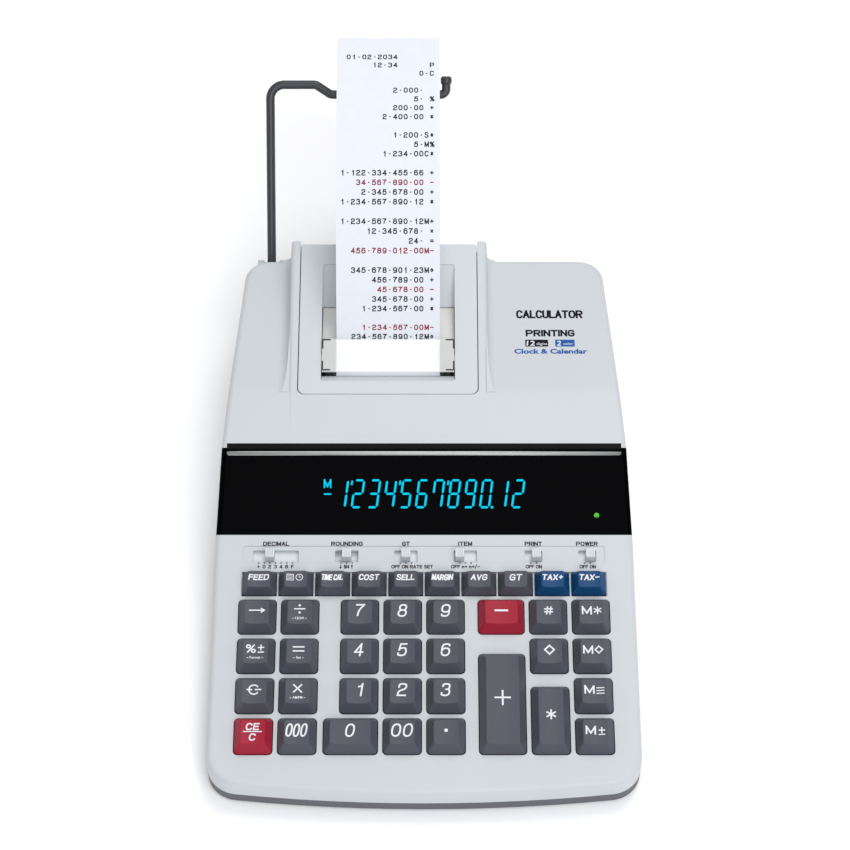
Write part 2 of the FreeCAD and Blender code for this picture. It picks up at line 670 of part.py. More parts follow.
def make_case_screws():
    """Four cross-head screws, heads sunk in the base."""
    screws = []
    slim, long = 0.4, 1.8
    low, high = FOOT_H + SCREW_SINK - 1, FOOT_H + SCREW_SINK + SCREW_HEAD_H / 2
    for x, y in screw_places():
        middle = V(x, y, FOOT_H + SCREW_SINK)
        head = Part.makeCylinder(SCREW_HEAD_R, SCREW_HEAD_H, middle)
        shank = Part.makeCylinder(SCREW_R, SCREW_LENGTH - middle.z - 1, middle)
        slot = box(x - slim, x + slim, y - long, y + long, low, high)
        cross = box(x - long, x + long, y - slim, y + slim, low, high)
        screws.append(head.fuse(shank).cut([slot, cross]))
    return Part.makeCompound(screws)


def make_key(x0, x1, u0, u1, small):
    """A hollow key with a dished top, a lip that holds it in and a stem down to its switch."""
    beside = SMALL_SIDE_CLEARANCE if small else SKIRT_CLEARANCE
    x0, x1 = x0 + beside, x1 - beside
    u0, u1 = u0 + SKIRT_CLEARANCE, u1 - SKIRT_CLEARANCE
    inset_x = SMALL_KEY_INSET if small else KEY_INSET
    inset_u = SMALL_KEY_INSET_U if small else KEY_INSET
    foot = -LIP_DROP - KEY_LIP_T
    low = rounded_wire(rectangle(x0, x1, u0, u1, KEY_SKIRT_R), KEY_FOOT_H)
    top = rectangle(x0 + inset_x, x1 - inset_x, u0 + inset_u, u1 - inset_u, KEY_TOP_R)
    key = Part.makeLoft([low, rounded_wire(top, KEY_H)], True, True)
    key = key.fuse(rounded_box(x0, x1, u0, u1, foot, KEY_FOOT_H, KEY_SKIRT_R)).removeSplitter()
    half = (x1 - x0) / 2 - inset_x
    dish_r = (half ** 2 + KEY_DISH ** 2) / (2 * KEY_DISH)
    middle_x, middle_u = (x0 + x1) / 2, (u0 + u1) / 2
    past = 10.0
    dish_foot = V(middle_x, u0 - past, KEY_H + dish_r - KEY_DISH)
    key = key.cut(Part.makeCylinder(dish_r, u1 - u0 + 2 * past, dish_foot, V(0, 1, 0)))
    rim = [e for e in key.Edges if e.BoundBox.ZMin > KEY_H - KEY_DISH - 0.1]
    key = key.makeFillet(KEY_EDGE_R, rim)
    ceiling = KEY_H - KEY_DISH - KEY_WALL
    hollow = rectangle(x0 + KEY_WALL, x1 - KEY_WALL, u0 + KEY_WALL, u1 - KEY_WALL, KEY_ROOM_R)
    in_x, in_u = inset_x + KEY_WALL + 0.3, inset_u + KEY_WALL + 0.3
    room_low, room_mid = rounded_wire(hollow, foot), rounded_wire(hollow, KEY_FOOT_H / 2)
    upper = rectangle(x0 + in_x, x1 - in_x, u0 + in_u, u1 - in_u, KEY_ROOM_R / 2)
    key = key.cut(Part.makeLoft([room_low, room_mid], True, True))
    key = key.cut(Part.makeLoft([room_mid, rounded_wire(upper, ceiling)], True, True))
    lip_top = foot + KEY_LIP_T
    lip_x0, lip_x1 = x0 + KEY_LIP_INSET, x1 - KEY_LIP_INSET
    lips = rounded_box(lip_x0, lip_x1, u0 - KEY_LIP, u1 + KEY_LIP, foot, lip_top, 0.4)
    lips = lips.cut(Part.Face(room_low).extrude(V(0, 0, KEY_LIP_T)))
    stem = V(middle_x, middle_u, -STEM_DROP)
    stem = Part.makeCylinder(STEM_R, STEM_DROP + ceiling + 0.3, stem)
    return placed(key.fuse([lips, stem]), DECK)


def make_switch(first, positions, stands, level):
    """A ribbed knob on a shutter that closes its slot from below in every position."""
    x = first + stands * DETENT
    slot0, slot1 = switch_slot(first, positions)
    plate_top = -WALL - MOVING_GAP - level * (SHUTTER_T + MOVING_GAP)
    ahead, behind = (positions - 1 - stands) * DETENT, stands * DETENT
    u0, u1 = SLOT_MIDDLE - KNOB_D / 2, SLOT_MIDDLE + KNOB_D / 2
    knob = rounded_box(x - KNOB_W / 2, x + KNOB_W / 2, u0, u1, plate_top, KNOB_H, KNOB_R)
    top = [e for e in knob.Edges if e.BoundBox.ZMin > KNOB_H - 0.01]
    knob = knob.makeFillet(0.9 * KNOB_R, top)
    grooves = []
    for side in (-1, 0, 1):
        middle = x + side * GROOVE_PITCH
        g0, g1 = middle - GROOVE_W / 2, middle + GROOVE_W / 2
        grooves.append(box(g0, g1, u0 - 1, u1 + 1, KNOB_H - GROOVE_W, KNOB_H + 1))
    reach = SLOT_DEPTH / 2 + SHUTTER_LAP
    u0, u1 = SLOT_MIDDLE - reach, SLOT_MIDDLE + reach
    shutter = box(slot0 - ahead, slot1 + behind, u0, u1, plate_top - SHUTTER_T, plate_top)
    return placed(knob.cut(grooves).fuse(shutter), DECK)


def make_key_board():
    """The switch board under the keys, with a rubber collar round each stem."""
    top = -BOARD_DROP
    u0, u1 = FRONT_MARGIN - 3, DECK_LENGTH - 9
    board = rounded_box(-BOARD_HALF, BOARD_HALF, u0, u1, top - BOARD_T, top, 2)
    collars = []
    hollows = []
    for x0, x1, u0, u1, _ in LAYOUT.values():
        middle = V((x0 + x1) / 2, (u0 + u1) / 2, top - 0.2)
        bore = STEM_R + DOME_GAP
        collars.append(Part.makeCylinder(bore + DOME_WALL, DOME_H + 0.2, middle))
        hollows.append(Part.makeCylinder(bore, DOME_H + 2, middle + V(0, 0, 0.2)))
    return placed(board.fuse(collars).cut(hollows), DECK)


def make_display_window():
    """The dark full-width window, cut from the body's own outside so that its ends match."""
    slab = placed(box(-200, 200, WINDOW_MARGIN, WINDOW_END, -WINDOW_T, 20), PANEL)
    hole = Part.makeCylinder(LED_R + SEAT_GAP, 30, V(LED_X, LED_UP, -10))
    return outer_body().common(slab).cut(placed(hole, PANEL))


def make_display_board():
    """The board behind the panel, with the display tube and the power lamp."""
    tube_top = -TUBE_DROP
    board_top = tube_top - TUBE_T
    x0, x1 = TUBE_X - TUBE_W / 2, TUBE_X + TUBE_W / 2
    board = box(x0 - 12, LED_X + 8, 4, 43, board_top - BOARD_T, board_top)
    low = TUBE_MIDDLE - TUBE_D / 2 + 1
    tube = rounded_box(x0 + 2, x1 - 2, low, low + TUBE_D - 2, board_top, tube_top, 1.5)
    lamp = Part.makeCylinder(LED_R, -board_top - 0.6, V(LED_X, LED_UP, board_top))
    dome = Part.makeSphere(LED_R, V(LED_X, LED_UP, -0.6))
    return placed(board.fuse([tube, lamp, dome]), PANEL)


def power_room():
    """x0, x1, y0, y1 of the power board, beside the printer and in front of the rear wall."""
    x0 = PAPER_X + HOUSING_HALF + 6
    return x0, REAR_HALF - 12, BODY_D - 105, BODY_D - 25


def power_posts():
    """Plan positions of the posts under the power board."""
    x0, x1, y0, y1 = power_room()
    inset = POWER_POST_INSET
    return [(x, y) for x in (x0 + inset, x1 - inset) for y in (y0 + inset, y1 - inset)]


def make_power_board():
    """The supply board with its transformer, its capacitor and a heat sink."""
    x0, x1, y0, y1 = power_room()
    board = box(x0, x1, y0, y1, POWER_Z, POWER_Z + BOARD_T)
    top = POWER_Z + BOARD_T
    transformer = box(x0 + 8, x1 - 4, y0 + 34, y0 + 70, top, top + TRANSFORMER_H)
    capacitor = Part.makeCylinder(CAPACITOR_R, CAPACITOR_H, V(x0 + 16, y0 + 18, top))
    sink = box(x0 + 28, x0 + 31, y0 + 8, y0 + 28, top, top + SINK_H)
    return board.fuse([transformer, capacitor, sink])


def printer_point(q, n):
    """(y, z) of a point along the slope and above it."""
    point = SLOPE.multVec(V(0, q, n))
    return point.y, point.z


def make_printer_frame():
    """Cheeks, floor, print head, motor, gears, ink spools and the guide behind the tape."""
    top = -WALL - 2.0
    front_y = printer_point(COVER_FRONT + 4, 0)[0]
    rear_y = printer_point(HINGE_ALONG - 28, 0)[0]
    pieces = []
    outline = [(front_y, CHEEK_BOTTOM_Z, 0), (rear_y, CHEEK_BOTTOM_Z, 0)]
    step_y, step_z = printer_point(CUTTER_END + 6, top - 7)
    outline += [(rear_y, step_z - 4, 0), (step_y, step_z, 0)]
    outline += [(*printer_point(CUTTER_END, top), 1), (*printer_point(COVER_FRONT + 4, top - 4), 2)]
    cheeks = []
    for side in (-1, 1):
        x0 = PAPER_X + side * CHEEK_INNER
        x1 = x0 + side * CHEEK_T
        cheeks.append(side_prism(outline, min(x0, x1), max(x0, x1)))
    wide = CHEEK_INNER + CHEEK_T / 2
    floor = box(PAPER_X - wide, PAPER_X + wide, front_y, rear_y, CHEEK_BOTTOM_Z, CHEEK_BOTTOM_Z + 2)
    platen_y, platen_z = printer_point(PLATEN_ALONG, -PLATEN_DROP)
    head_y = platen_y - PLATEN_R - 1.5
    head = box(PAPER_X - 30, PAPER_X + 30, head_y - 5, head_y, platen_z - 6, platen_z + 4)
    rail = cylinder_x(1.5, PAPER_X - wide, PAPER_X + wide, head_y - 2.5, platen_z - 6)
    motor = cylinder_x(11, PAPER_X - CHEEK_INNER - 1, PAPER_X + 8, rear_y - 18, CHEEK_BOTTOM_Z + 14)
    gear_x = PAPER_X + CHEEK_INNER + CHEEK_T - 0.5
    gear = cylinder_x(9, gear_x, gear_x + GEAR_W + 1, platen_y + 18, platen_z - 12)
    small_gear = cylinder_x(5, gear_x, gear_x + GEAR_W + 1, platen_y + 31, platen_z - 14)
    spool_x = CHEEK_INNER + CHEEK_T + 5
    spool_y = platen_y + SPOOL_BACK
    arm_top = platen_z - GEAR_W + 0.1
    for side in (-1, 1):
        x = PAPER_X + side * spool_x
        spool = Part.makeCylinder(SPOOL_R, SPOOL_H, V(x, spool_y, platen_z - GEAR_W))
        x0, x1 = sorted((x, PAPER_X + side * wide))
        arm = box(x0, x1, spool_y - 4, spool_y + 4, arm_top - 2, arm_top)
        pieces += [spool, arm]
    guide_x = MOUTH_HALF - MOVING_GAP
    guide_end = MOUTH_REAR - 1.0
    guide = [(CUTTER_END + 1.2, -4.2, 0), (CUTTER_END + 1.2, -5.7, 0)]
    guide += [(guide_end, -CHUTE_DEPTH - 2.6, 0), (guide_end, -CHUTE_DEPTH - 1.1, 0)]
    strip = side_prism(guide, PAPER_X - guide_x, PAPER_X + guide_x)
    strip = placed(strip, SLOPE)
    pieces += [floor, head, rail, motor, gear, small_gear, strip]
    whole = cheeks[0].fuse(cheeks[1:] + pieces)
    axle = cylinder_x(AXLE_R + RUNNING, PAPER_X - 60, PAPER_X + 60, platen_y, platen_z)
    return whole.cut(axle)


def make_platen_roller():
    """The rubber roller that feeds the paper, with its axle and drive gear."""
    y, z = printer_point(PLATEN_ALONG, -PLATEN_DROP)
    half = CHEEK_INNER - MOVING_GAP
    roller = cylinder_x(PLATEN_R, PAPER_X - half, PAPER_X + half, y, z)
    end = CHEEK_INNER + CHEEK_T + 0.6
    axle = cylinder_x(AXLE_R, PAPER_X - end, PAPER_X + end + GEAR_W, y, z)
    gear = cylinder_x(DRIVE_GEAR_R, PAPER_X + end, PAPER_X + end + GEAR_W, y, z)
    return roller.fuse([axle, gear])


def make_printer_cover():
    """The lid over the printer: a plate with the paper mouth, its chute and two hinge lugs."""
    corners = rectangle(
        PAPER_X - COVER_HALF, PAPER_X + COVER_HALF, COVER_FRONT, COVER_REAR, COVER_CORNER_R
    )
    corners[2:] = [(x, y, MOUTH_R) for x, y, _ in corners[2:]]
    plate = Part.Face(rounded_wire(corners, -WALL)).extrude(V(0, 0, WALL))
    top = [e for e in plate.Edges if e.BoundBox.ZMin > -0.01]
    plate = plate.makeFillet(KEY_EDGE_R, top)
    m0, m1 = PAPER_X - MOUTH_HALF, PAPER_X + MOUTH_HALF
    mouth_end = MOUTH_REAR + CHUTE_LENGTH
    plate = plate.cut(rounded_box(m0, m1, MOUTH_FRONT, mouth_end, -WALL - 1, 1, MOUTH_R))
    under, lip = -CHUTE_DEPTH - CHUTE_T, -CHUTE_T - 0.5
    outline = [(MOUTH_REAR, -CHUTE_DEPTH, 0), (MOUTH_REAR, under, 0.5), (mouth_end + 2, lip, 0)]
    outline += [(mouth_end + 2, -MOVING_GAP, 0), (mouth_end, -MOVING_GAP, 1)]
    chute = side_prism(outline, m0 - 0.5, m1 + 0.5)
    sides = [(MOUTH_REAR, under, 0), (mouth_end + 1, lip + 0.1, 0)]
    sides += [(mouth_end + 1, -WALL / 2, 0), (MOUTH_REAR, -WALL / 2, 0)]
    wall_left = side_prism(sides, m0 - CHUTE_T, m0)
    wall_right = side_prism(sides, m1, m1 + CHUTE_T)
    pieces = [chute, wall_left, wall_right]
    for side in (-1, 1):
        a = PAPER_X + side * COVER_HALF
        b = a - side * LUG_W
        lug = cylinder_x(LUG_R, min(a, b), max(a, b), HINGE_ALONG, -HINGE_DROP)
        front, rear = HINGE_ALONG - LUG_R, HINGE_ALONG + LUG_R
        web = box(min(a, b), max(a, b), front, rear, -HINGE_DROP, -WALL / 2)
        out = a + side * (HOUSING_MARGIN - WALL - 1)
        pin = cylinder_x(HINGE_R, min(b, out), max(b, out), HINGE_ALONG, -HINGE_DROP)
        pieces += [lug, web, pin]
    return placed(plate.fuse(pieces), SLOPE)


def make_tear_cutter():
    """The clear strip that the paper leaves under, with a serrated rear edge and two clips."""
    half = MOUTH_HALF - 0.5
    count = int(2 * half / TOOTH)
    pitch = 2 * half / count
    points = [V(-half, CUTTER_START, 0), V(half, CUTTER_START, 0)]
    for i in range(count):
        x = half - i * pitch
        points.append(V(x, CUTTER_END - TOOTH_H, 0))
        points.append(V(x - pitch / 2, CUTTER_END, 0))
    points.append(V(-half, CUTTER_END - TOOTH_H, 0))
    blade = Part.Face(Part.makePolygon(points + points[:1])).extrude(V(0, 0, CUTTER_T))
    tilt = FreeCAD.Rotation(V(1, 0, 0), math.degrees(math.atan2(CUTTER_RISE, CUTTER_LENGTH)))
    blade.translate(V(PAPER_X, -CUTTER_START, -CUTTER_T / 2))
    blade = placed(blade, FreeCAD.Placement(V(0, CUTTER_START, 0), tilt))
    clips = []
    for side in (-1, 1):
        a = PAPER_X + side * half
        b = a - side * CLIP_T
        c = a + side * 4.5
        start, end = CUTTER_START + 3, CUTTER_START + 3 + CLIP_W
        clips.append(box(min(a, b), max(a, b), start, end, -WALL - CUTTER_T, MOVING_GAP))
        clips.append(box(min(b, c), max(b, c), start, end, -WALL - CUTTER_T, -WALL))
    return placed(blade.fuse(clips), SLOPE)


def tape_edges():
    """The tape's route in (y, z): in at the rear, round the platen, past the cutter and up."""
    platen_y, platen_z = printer_point(PLATEN_ALONG, -PLATEN_DROP)
    radius = PLATEN_R + 0.05
    inlet = V(*printer_point(COVER_REAR + 6, -NOTCH_DEPTH + 2.2), 0)
    lip = V(*printer_point(CUTTER_END + 0.4, -1.0), 0)
    centre = V(platen_y, platen_z, 0)

    def touch(point, side):
        gap = point - centre
        turn = math.acos(radius / gap.Length) * side
        way = math.atan2(gap.y, gap.x) + turn
        return centre + V(math.cos(way), math.sin(way), 0) * radius

    under, over = touch(inlet, -1), touch(lip, 1)
    front = centre - ((under + over) * 0.5 - centre).normalize() * radius
    chord = math.degrees(math.atan2(TAPE_END_UP, TAPE_END_BACK))
    start_turn = chord + TAPE_HALF_TURN
    end = lip + V(TAPE_END_BACK, TAPE_END_UP, 0)
    reach = math.hypot(TAPE_END_UP, TAPE_END_BACK)
    sweep_r = reach / 2 / math.sin(math.radians(TAPE_HALF_TURN))
    rise = sweep_r * (1 - math.cos(math.radians(TAPE_HALF_TURN)))
    across = math.radians(chord + 90)
    crown = lip + (end - lip) * 0.5 + V(math.cos(across), math.sin(across), 0) * rise
    bend_r = 3.0
    arrive = (lip - over).normalize()
    leave = V(math.cos(math.radians(start_turn)), math.sin(math.radians(start_turn)), 0)
    half = (arrive * -1).getAngle(leave) / 2
    cut = bend_r / math.tan(half)
    bend_in = lip - arrive * cut
    bend_out = lip + leave * cut
    bend_mid = lip + (leave - arrive).normalize() * (bend_r / math.sin(half) - bend_r)
    shift = bend_out - lip
    sweep = Part.Arc(bend_out, crown + shift, end + shift).toShape()
    return [
        Part.LineSegment(inlet, under).toShape(),
        Part.Arc(under, front, over).toShape(),
        Part.LineSegment(over, bend_in).toShape(),
        Part.Arc(bend_in, bend_mid, bend_out).toShape(),
        sweep,
    ]


def make_paper_tape():
    """One strip of paper of constant thickness along its route."""
    route = Part.Wire(tape_edges())
    strip = route.makeOffset2D(PAPER_T, 0, True, True, False)
    solid = strip.extrude(V(0, 0, PAPER_W))
    solid.translate(V(0, 0, PAPER_X - PAPER_W / 2))
    return placed(solid, FreeCAD.Placement(V(0, 0, 0), SIDEWAYS))


def make_paper_roll():
    half = PAPER_W / 2
    roll = cylinder_x(ROLL_R, PAPER_X - half, PAPER_X + half, CRADLE_Y, ROLL_Z)
    bore = cylinder_x(CORE_R, PAPER_X - half - 1, PAPER_X + half + 1, CRADLE_Y, ROLL_Z)
    return roll.cut(bore)


def make_paper_arm():
    """A bent rod: a leg, a shoulder, a cradle through the roll and an upturned tip."""
    edge = PAPER_W / 2
    shoulder = ARM_REACH + ARM_SHOULDER
    dip0, dip1 = PAPER_X - edge - 13.5, PAPER_X - edge - 5.0
    tip_x = PAPER_X + edge + TIP_R + 0.75
    corners = [(ARM_X, 0, 0), (ARM_X, shoulder, ARM_BEND_R), (dip0, shoulder, 4.0)]
    corners += [(dip1, ARM_REACH, 4.0), (tip_x, ARM_REACH, 3.2), (tip_x, ARM_REACH + ARM_TIP, 0)]
    path = Part.Wire(rounded_edges(corners, False))
    ring = Part.Wire(Part.makeCircle(ARM_R, V(ARM_X, 0, 0), V(0, 1, 0)))
    rod = path.makePipeShell([ring], True, False)
    knob = Part.makeCylinder(TIP_R, ARM_TIP - 5.5, V(tip_x, ARM_REACH + 5.5, 0), V(0, 1, 0))
    ends = [e for e in knob.Edges if e.BoundBox.YLength < 0.01]
    knob = knob.makeFillet(1.6, ends)
    hub = cylinder_x(ARM_HUB_R, ARM_X - ARM_HUB_W / 2, ARM_X + ARM_HUB_W / 2, 0, 0)
    reach = ARM_HUB_W / 2 + MOVING_GAP + EAR_T
    pin = cylinder_x(ARM_PIN_R, ARM_X - reach, ARM_X + reach, 0, 0)
    return placed(rod.fuse([knob, hub, pin]), ARM)


def save(name, shape):
    """Moves a finished piece to the object's origin and writes it."""
    piece = shape.copy()
    piece.translate(V(0, -ORIGIN_Y, 0))
    if not piece.isValid():
        raise ValueError(name + " is not a valid solid")
    print(f"{name:24s} solids {len(piece.Solids)} volume {piece.Volume / 1000:.2f} cm3")
    piece.exportStep(os.path.join("parts", name + ".step"))


def main():
    os.makedirs("parts", exist_ok=True)
    save("top_shell", make_top_shell())
    save("base_shell", make_base_shell())
    save("rubber_feet", make_rubber_feet())
    save("case_screws", make_case_screws())
    save("display_window", make_display_window())
    save("display_board", make_display_board())
    save("key_board", make_key_board())
    save("power_board", make_power_board())
    save("printer_frame", make_printer_frame())
    save("platen_roller", make_platen_roller())
    save("printer_cover", make_printer_cover())
    save("tear_cutter", make_tear_cutter())
    save("paper_tape", make_paper_tape())
    save("paper_roll", make_paper_roll())
    save("paper_arm", make_paper_arm())
    for name, place in LAYOUT.items():
        save(name, make_key(*place))
    for name, *place in SWITCHES:
        save(name, make_switch(*place))


if __name__ == "__main__":
    main()
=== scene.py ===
# %% [markdown]
# # Dressing a printing desk calculator
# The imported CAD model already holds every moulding, key and roller in its true place. This lesson
# gives each of them its finish and adds what is printed, lit or laid on them. Everything is in
# metres, in the CAD model's own frame: +X to the user's right, +Y to the rear and +Z up.

# %% Load the frame
import json
import math

import bpy
import numpy as np
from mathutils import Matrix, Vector
from mathutils.bvhtree import BVHTree


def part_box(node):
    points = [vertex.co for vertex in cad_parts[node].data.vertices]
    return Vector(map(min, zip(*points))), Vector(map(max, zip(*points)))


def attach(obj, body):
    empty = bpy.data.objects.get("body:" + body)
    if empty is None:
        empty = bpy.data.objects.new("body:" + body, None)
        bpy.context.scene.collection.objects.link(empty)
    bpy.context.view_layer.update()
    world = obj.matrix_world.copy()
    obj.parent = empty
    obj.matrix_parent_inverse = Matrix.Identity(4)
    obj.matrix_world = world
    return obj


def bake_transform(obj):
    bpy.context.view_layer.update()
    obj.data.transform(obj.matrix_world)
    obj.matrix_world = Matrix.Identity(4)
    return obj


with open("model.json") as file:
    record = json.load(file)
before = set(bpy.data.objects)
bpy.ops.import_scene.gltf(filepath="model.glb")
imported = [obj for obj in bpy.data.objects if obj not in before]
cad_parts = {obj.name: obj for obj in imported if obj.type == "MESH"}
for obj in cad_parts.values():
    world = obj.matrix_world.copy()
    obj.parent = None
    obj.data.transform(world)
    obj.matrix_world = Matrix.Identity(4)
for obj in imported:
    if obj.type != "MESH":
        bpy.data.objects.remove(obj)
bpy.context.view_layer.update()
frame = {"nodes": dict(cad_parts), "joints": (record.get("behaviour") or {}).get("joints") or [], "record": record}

MM = 0.001
nodes = frame["nodes"]
slot_of = {part["node"]: part["material_slot"] for part in frame["record"]["subparts"]}

# %% [markdown]
# ## The camera and the light
# The calculator stands on a pale table and is seen from in front, well above, through a long lens
# so that its sides stay nearly parallel. A long lens could be faked with an orthographic camera,
# but a real lens keeps the slight narrowing towards the rear. Two large soft boxes and a pale room
# give soft shadows, as in a product studio.

# %% Camera, table and lamps
scene = bpy.context.scene
scene.view_settings.view_transform = "Standard"

lens = bpy.data.cameras.new("studio_camera")
lens.lens = 112.41
lens.sensor_width = 36.0
camera = bpy.data.objects.new("studio_camera", lens)
camera.location = (0.0005, -0.8704, 1.2361)
camera.rotation_euler = (math.radians(36.27), 0.0, 0.0)
scene.collection.objects.link(camera)
scene.camera = camera


def linear(colour):
    """An sRGB hex colour as linear RGBA: c / 12.92 below 0.04045, else ((c + 0.055) / 1.055) ** 2.4."""
    values = np.array([int(colour[i:i + 2], 16) for i in (0, 2, 4)]) / 255
    curve = np.where(values <= 0.04045, values / 12.92, ((values + 0.055) / 1.055) ** 2.4)
    return (*curve.tolist(), 1.0)


def add(tree, kind, values=None, links=None, **settings):
    """Adds one node with its settings and input values, and links other nodes' outputs to it."""
    made = tree.nodes.new(kind)
    for name, value in settings.items():
        setattr(made, name, value)
    for name, value in (values or {}).items():
        made.inputs[name].default_value = value
    for name, socket in (links or {}).items():
        tree.links.new(socket, made.inputs[name])
    return made


def soft_box(name, place, target, size, watts, colour):
    """A square area lamp that faces a target."""
    lamp = bpy.data.lights.new(name, "AREA")
    lamp.size, lamp.energy, lamp.color = size, watts, linear(colour)[:3]
    holder = bpy.data.objects.new(name, lamp)
    holder.location = place
    holder.rotation_euler = (Vector(target) - Vector(place)).to_track_quat("-Z", "Y").to_euler()
    scene.collection.objects.link(holder)
    return holder


room = bpy.data.worlds.new("pale_room")
room.use_nodes = True
room.node_tree.nodes["Background"].inputs["Color"].default_value = linear("FBFCFF")
room.node_tree.nodes["Background"].inputs["Strength"].default_value = 0.55
scene.world = room
soft_box("key_soft_box", (0.3, 0.8, 1.8), (0, 0, 0.05), 0.9, 12.0, "FFFDFA")
soft_box("fill_soft_box", (0.45, -1.25, 1.5), (0, -0.1, 0.05), 1.6, 21.0, "F8FBFF")
print("camera at", tuple(round(v, 3) for v in camera.location))

# %% [markdown]
# ## How the finishes are made
# Most of the calculator is injection-moulded ABS. A real moulding is never one flat colour: its
# tone drifts a little from gate to edge, and a spark-eroded mould leaves a fine grit that softens
# the gloss. Both could be drawn by hand, but noise in the material's own nodes follows the object
# from every side. Grit of a real mould is about 0.1 mm, too fine to show, so it is drawn larger.


# %% A material with drifting tone and grit
def dress(name, tone, drift_tone, blotch_mm, grit_mm, height_mm, roughness, ior=1.5, **sockets):
    """Two tones mixed by coarse noise, with fine noise as bump and as a small change of gloss."""
    material = bpy.data.materials.new(name)
    material.use_nodes = True
    tree = material.node_tree
    tree.nodes.clear()
    place = add(tree, "ShaderNodeTexCoord").outputs["Object"]
    drift = add(tree, "ShaderNodeTexNoise", {"Scale": 1 / (blotch_mm * MM), "Detail": 3.0}, {"Vector": place})
    grit = add(tree, "ShaderNodeTexNoise", {"Scale": 1 / (grit_mm * MM), "Detail": 2.0}, {"Vector": place})
    mix = add(tree, "ShaderNodeMix", {6: linear(tone), 7: linear(drift_tone)}, {0: drift.outputs["Fac"]},
              data_type="RGBA")
    gloss = add(tree, "ShaderNodeMapRange", {"To Min": roughness - 0.05, "To Max": roughness + 0.05},
                {"Value": grit.outputs["Fac"]})
    bump = add(tree, "ShaderNodeBump", {"Strength": 1.0, "Distance": height_mm * MM},
               {"Height": grit.outputs["Fac"]})
    shader = add(tree, "ShaderNodeBsdfPrincipled", {"IOR": ior, **sockets},
                 {"Base Color": mix.outputs[2], "Roughness": gloss.outputs["Result"],
                  "Normal": bump.outputs["Normal"]})
    add(tree, "ShaderNodeOutputMaterial", links={"Surface": shader.outputs["BSDF"]})
    return material


def colour_of(material):
    """The material's colour mix node, for finishes that add a pattern of their own."""
    tree = material.node_tree
    shader = next(n for n in tree.nodes if n.type == "BSDF_PRINCIPLED")
    return tree, shader, shader.inputs["Base Color"].links[0].from_socket


print("helpers for finishes: dress, colour_of")

# %% [markdown]
# ## The mouldings
# Case and cover are light grey ABS, satin to the eye. The base is the same plastic in dark grey.
# The keys are moulded in dark grey, red and blue, and worn a little smoother by fingers. The
# window is smoked acrylic, polished until it is nearly black.

# %% Plastics
WORN = {"Specular IOR Level": 0.3}      # finger-worn grit scatters most of the sheen
finishes = {
    "case_plastic": dress("light_grey_abs", "C3C8CB", "C7CCCF", 60, 1.1, 0.012, 0.46),
    "cover_plastic": dress("cover_grey_abs", "C4C9CC", "C8CDD0", 60, 1.1, 0.012, 0.44),
    "base_plastic": dress("dark_grey_abs", "54565C", "5A5C62", 40, 1.0, 0.015, 0.5),
    "window_plastic": dress("smoked_acrylic", "020203", "040405", 80, 30, 0.002, 0.16, 1.49,
                            **{"Specular IOR Level": 0.012}),
    # The clear strip's near-white tone and faint white emission are painted light: they brighten the tape seen
    # through it, which the strip itself shades.
    "clear_plastic": dress("clear_styrene_painted_glow", "FBFBFA", "FFFFFF", 20, 2.0, 0.004, 0.25, 1.55, Alpha=0.42,
                           **{"Emission Color": (1, 1, 1, 1), "Emission Strength": 0.12}),
    "mechanism_plastic": dress("black_acetal", "1C1D20", "232428", 20, 0.9, 0.01, 0.5, 1.48),
    "grey_key_plastic": dress("charcoal_abs", "4C4E57", "51535C", 9, 0.8, 0.012, 0.5, **WORN),
    "red_key_plastic": dress("crimson_abs", "9C152E", "A31932", 9, 0.8, 0.012, 0.5, **WORN),
    "blue_key_plastic": dress("blue_abs", "04406E", "064573", 9, 0.8, 0.012, 0.5, **WORN),
    "knob_plastic": dress("knob_grey_abs", "D0D5D8", "D6DBDE", 9, 0.8, 0.01, 0.42),
    "foot_rubber": dress("moulded_rubber", "1A1A1C", "202022", 6, 0.7, 0.02, 0.75, 1.52),
    "roller_rubber": dress("ground_rubber", "26262A", "2E2E32", 6, 0.6, 0.02, 0.7, 1.52),
}
print("plastics:", len(finishes))

# %% [markdown]
# ## Metal, boards and paper
# The arm is steel rod under a dark grey coat, the screws are zinc plated, and the boards are green
# solder-masked laminate. The tape and the roll are bond paper: short fibres give it a soft cloudy
# tone. On the roll's ends the wound edges of the paper show as fine rings round the core, so its
# colour depends on the distance from the roll's own axis.

# %% Metals, laminates and paper
finishes["arm_steel"] = dress("coated_steel", "303136", "38393F", 15, 0.8, 0.01, 0.36)
finishes["screw_steel"] = dress("zinc_plate", "A9ABAE", "B9BBBE", 3, 0.4, 0.006, 0.3, Metallic=1.0)
for slot in ("board_laminate", "display_laminate", "supply_laminate"):
    finishes[slot] = dress("solder_mask_" + slot.split("_")[0], "1F4A2D", "2B5C39", 7, 1.5, 0.02, 0.35)
finishes["tape_paper"] = dress("tape_bond_paper", "E0E3EA", "E6E9EF", 5, 0.9, 0.015, 0.85, 1.45)
finishes["roll_paper"] = dress("wound_bond_paper", "DADCE0", "E0E2E6", 5, 0.9, 0.015, 0.85, 1.45)

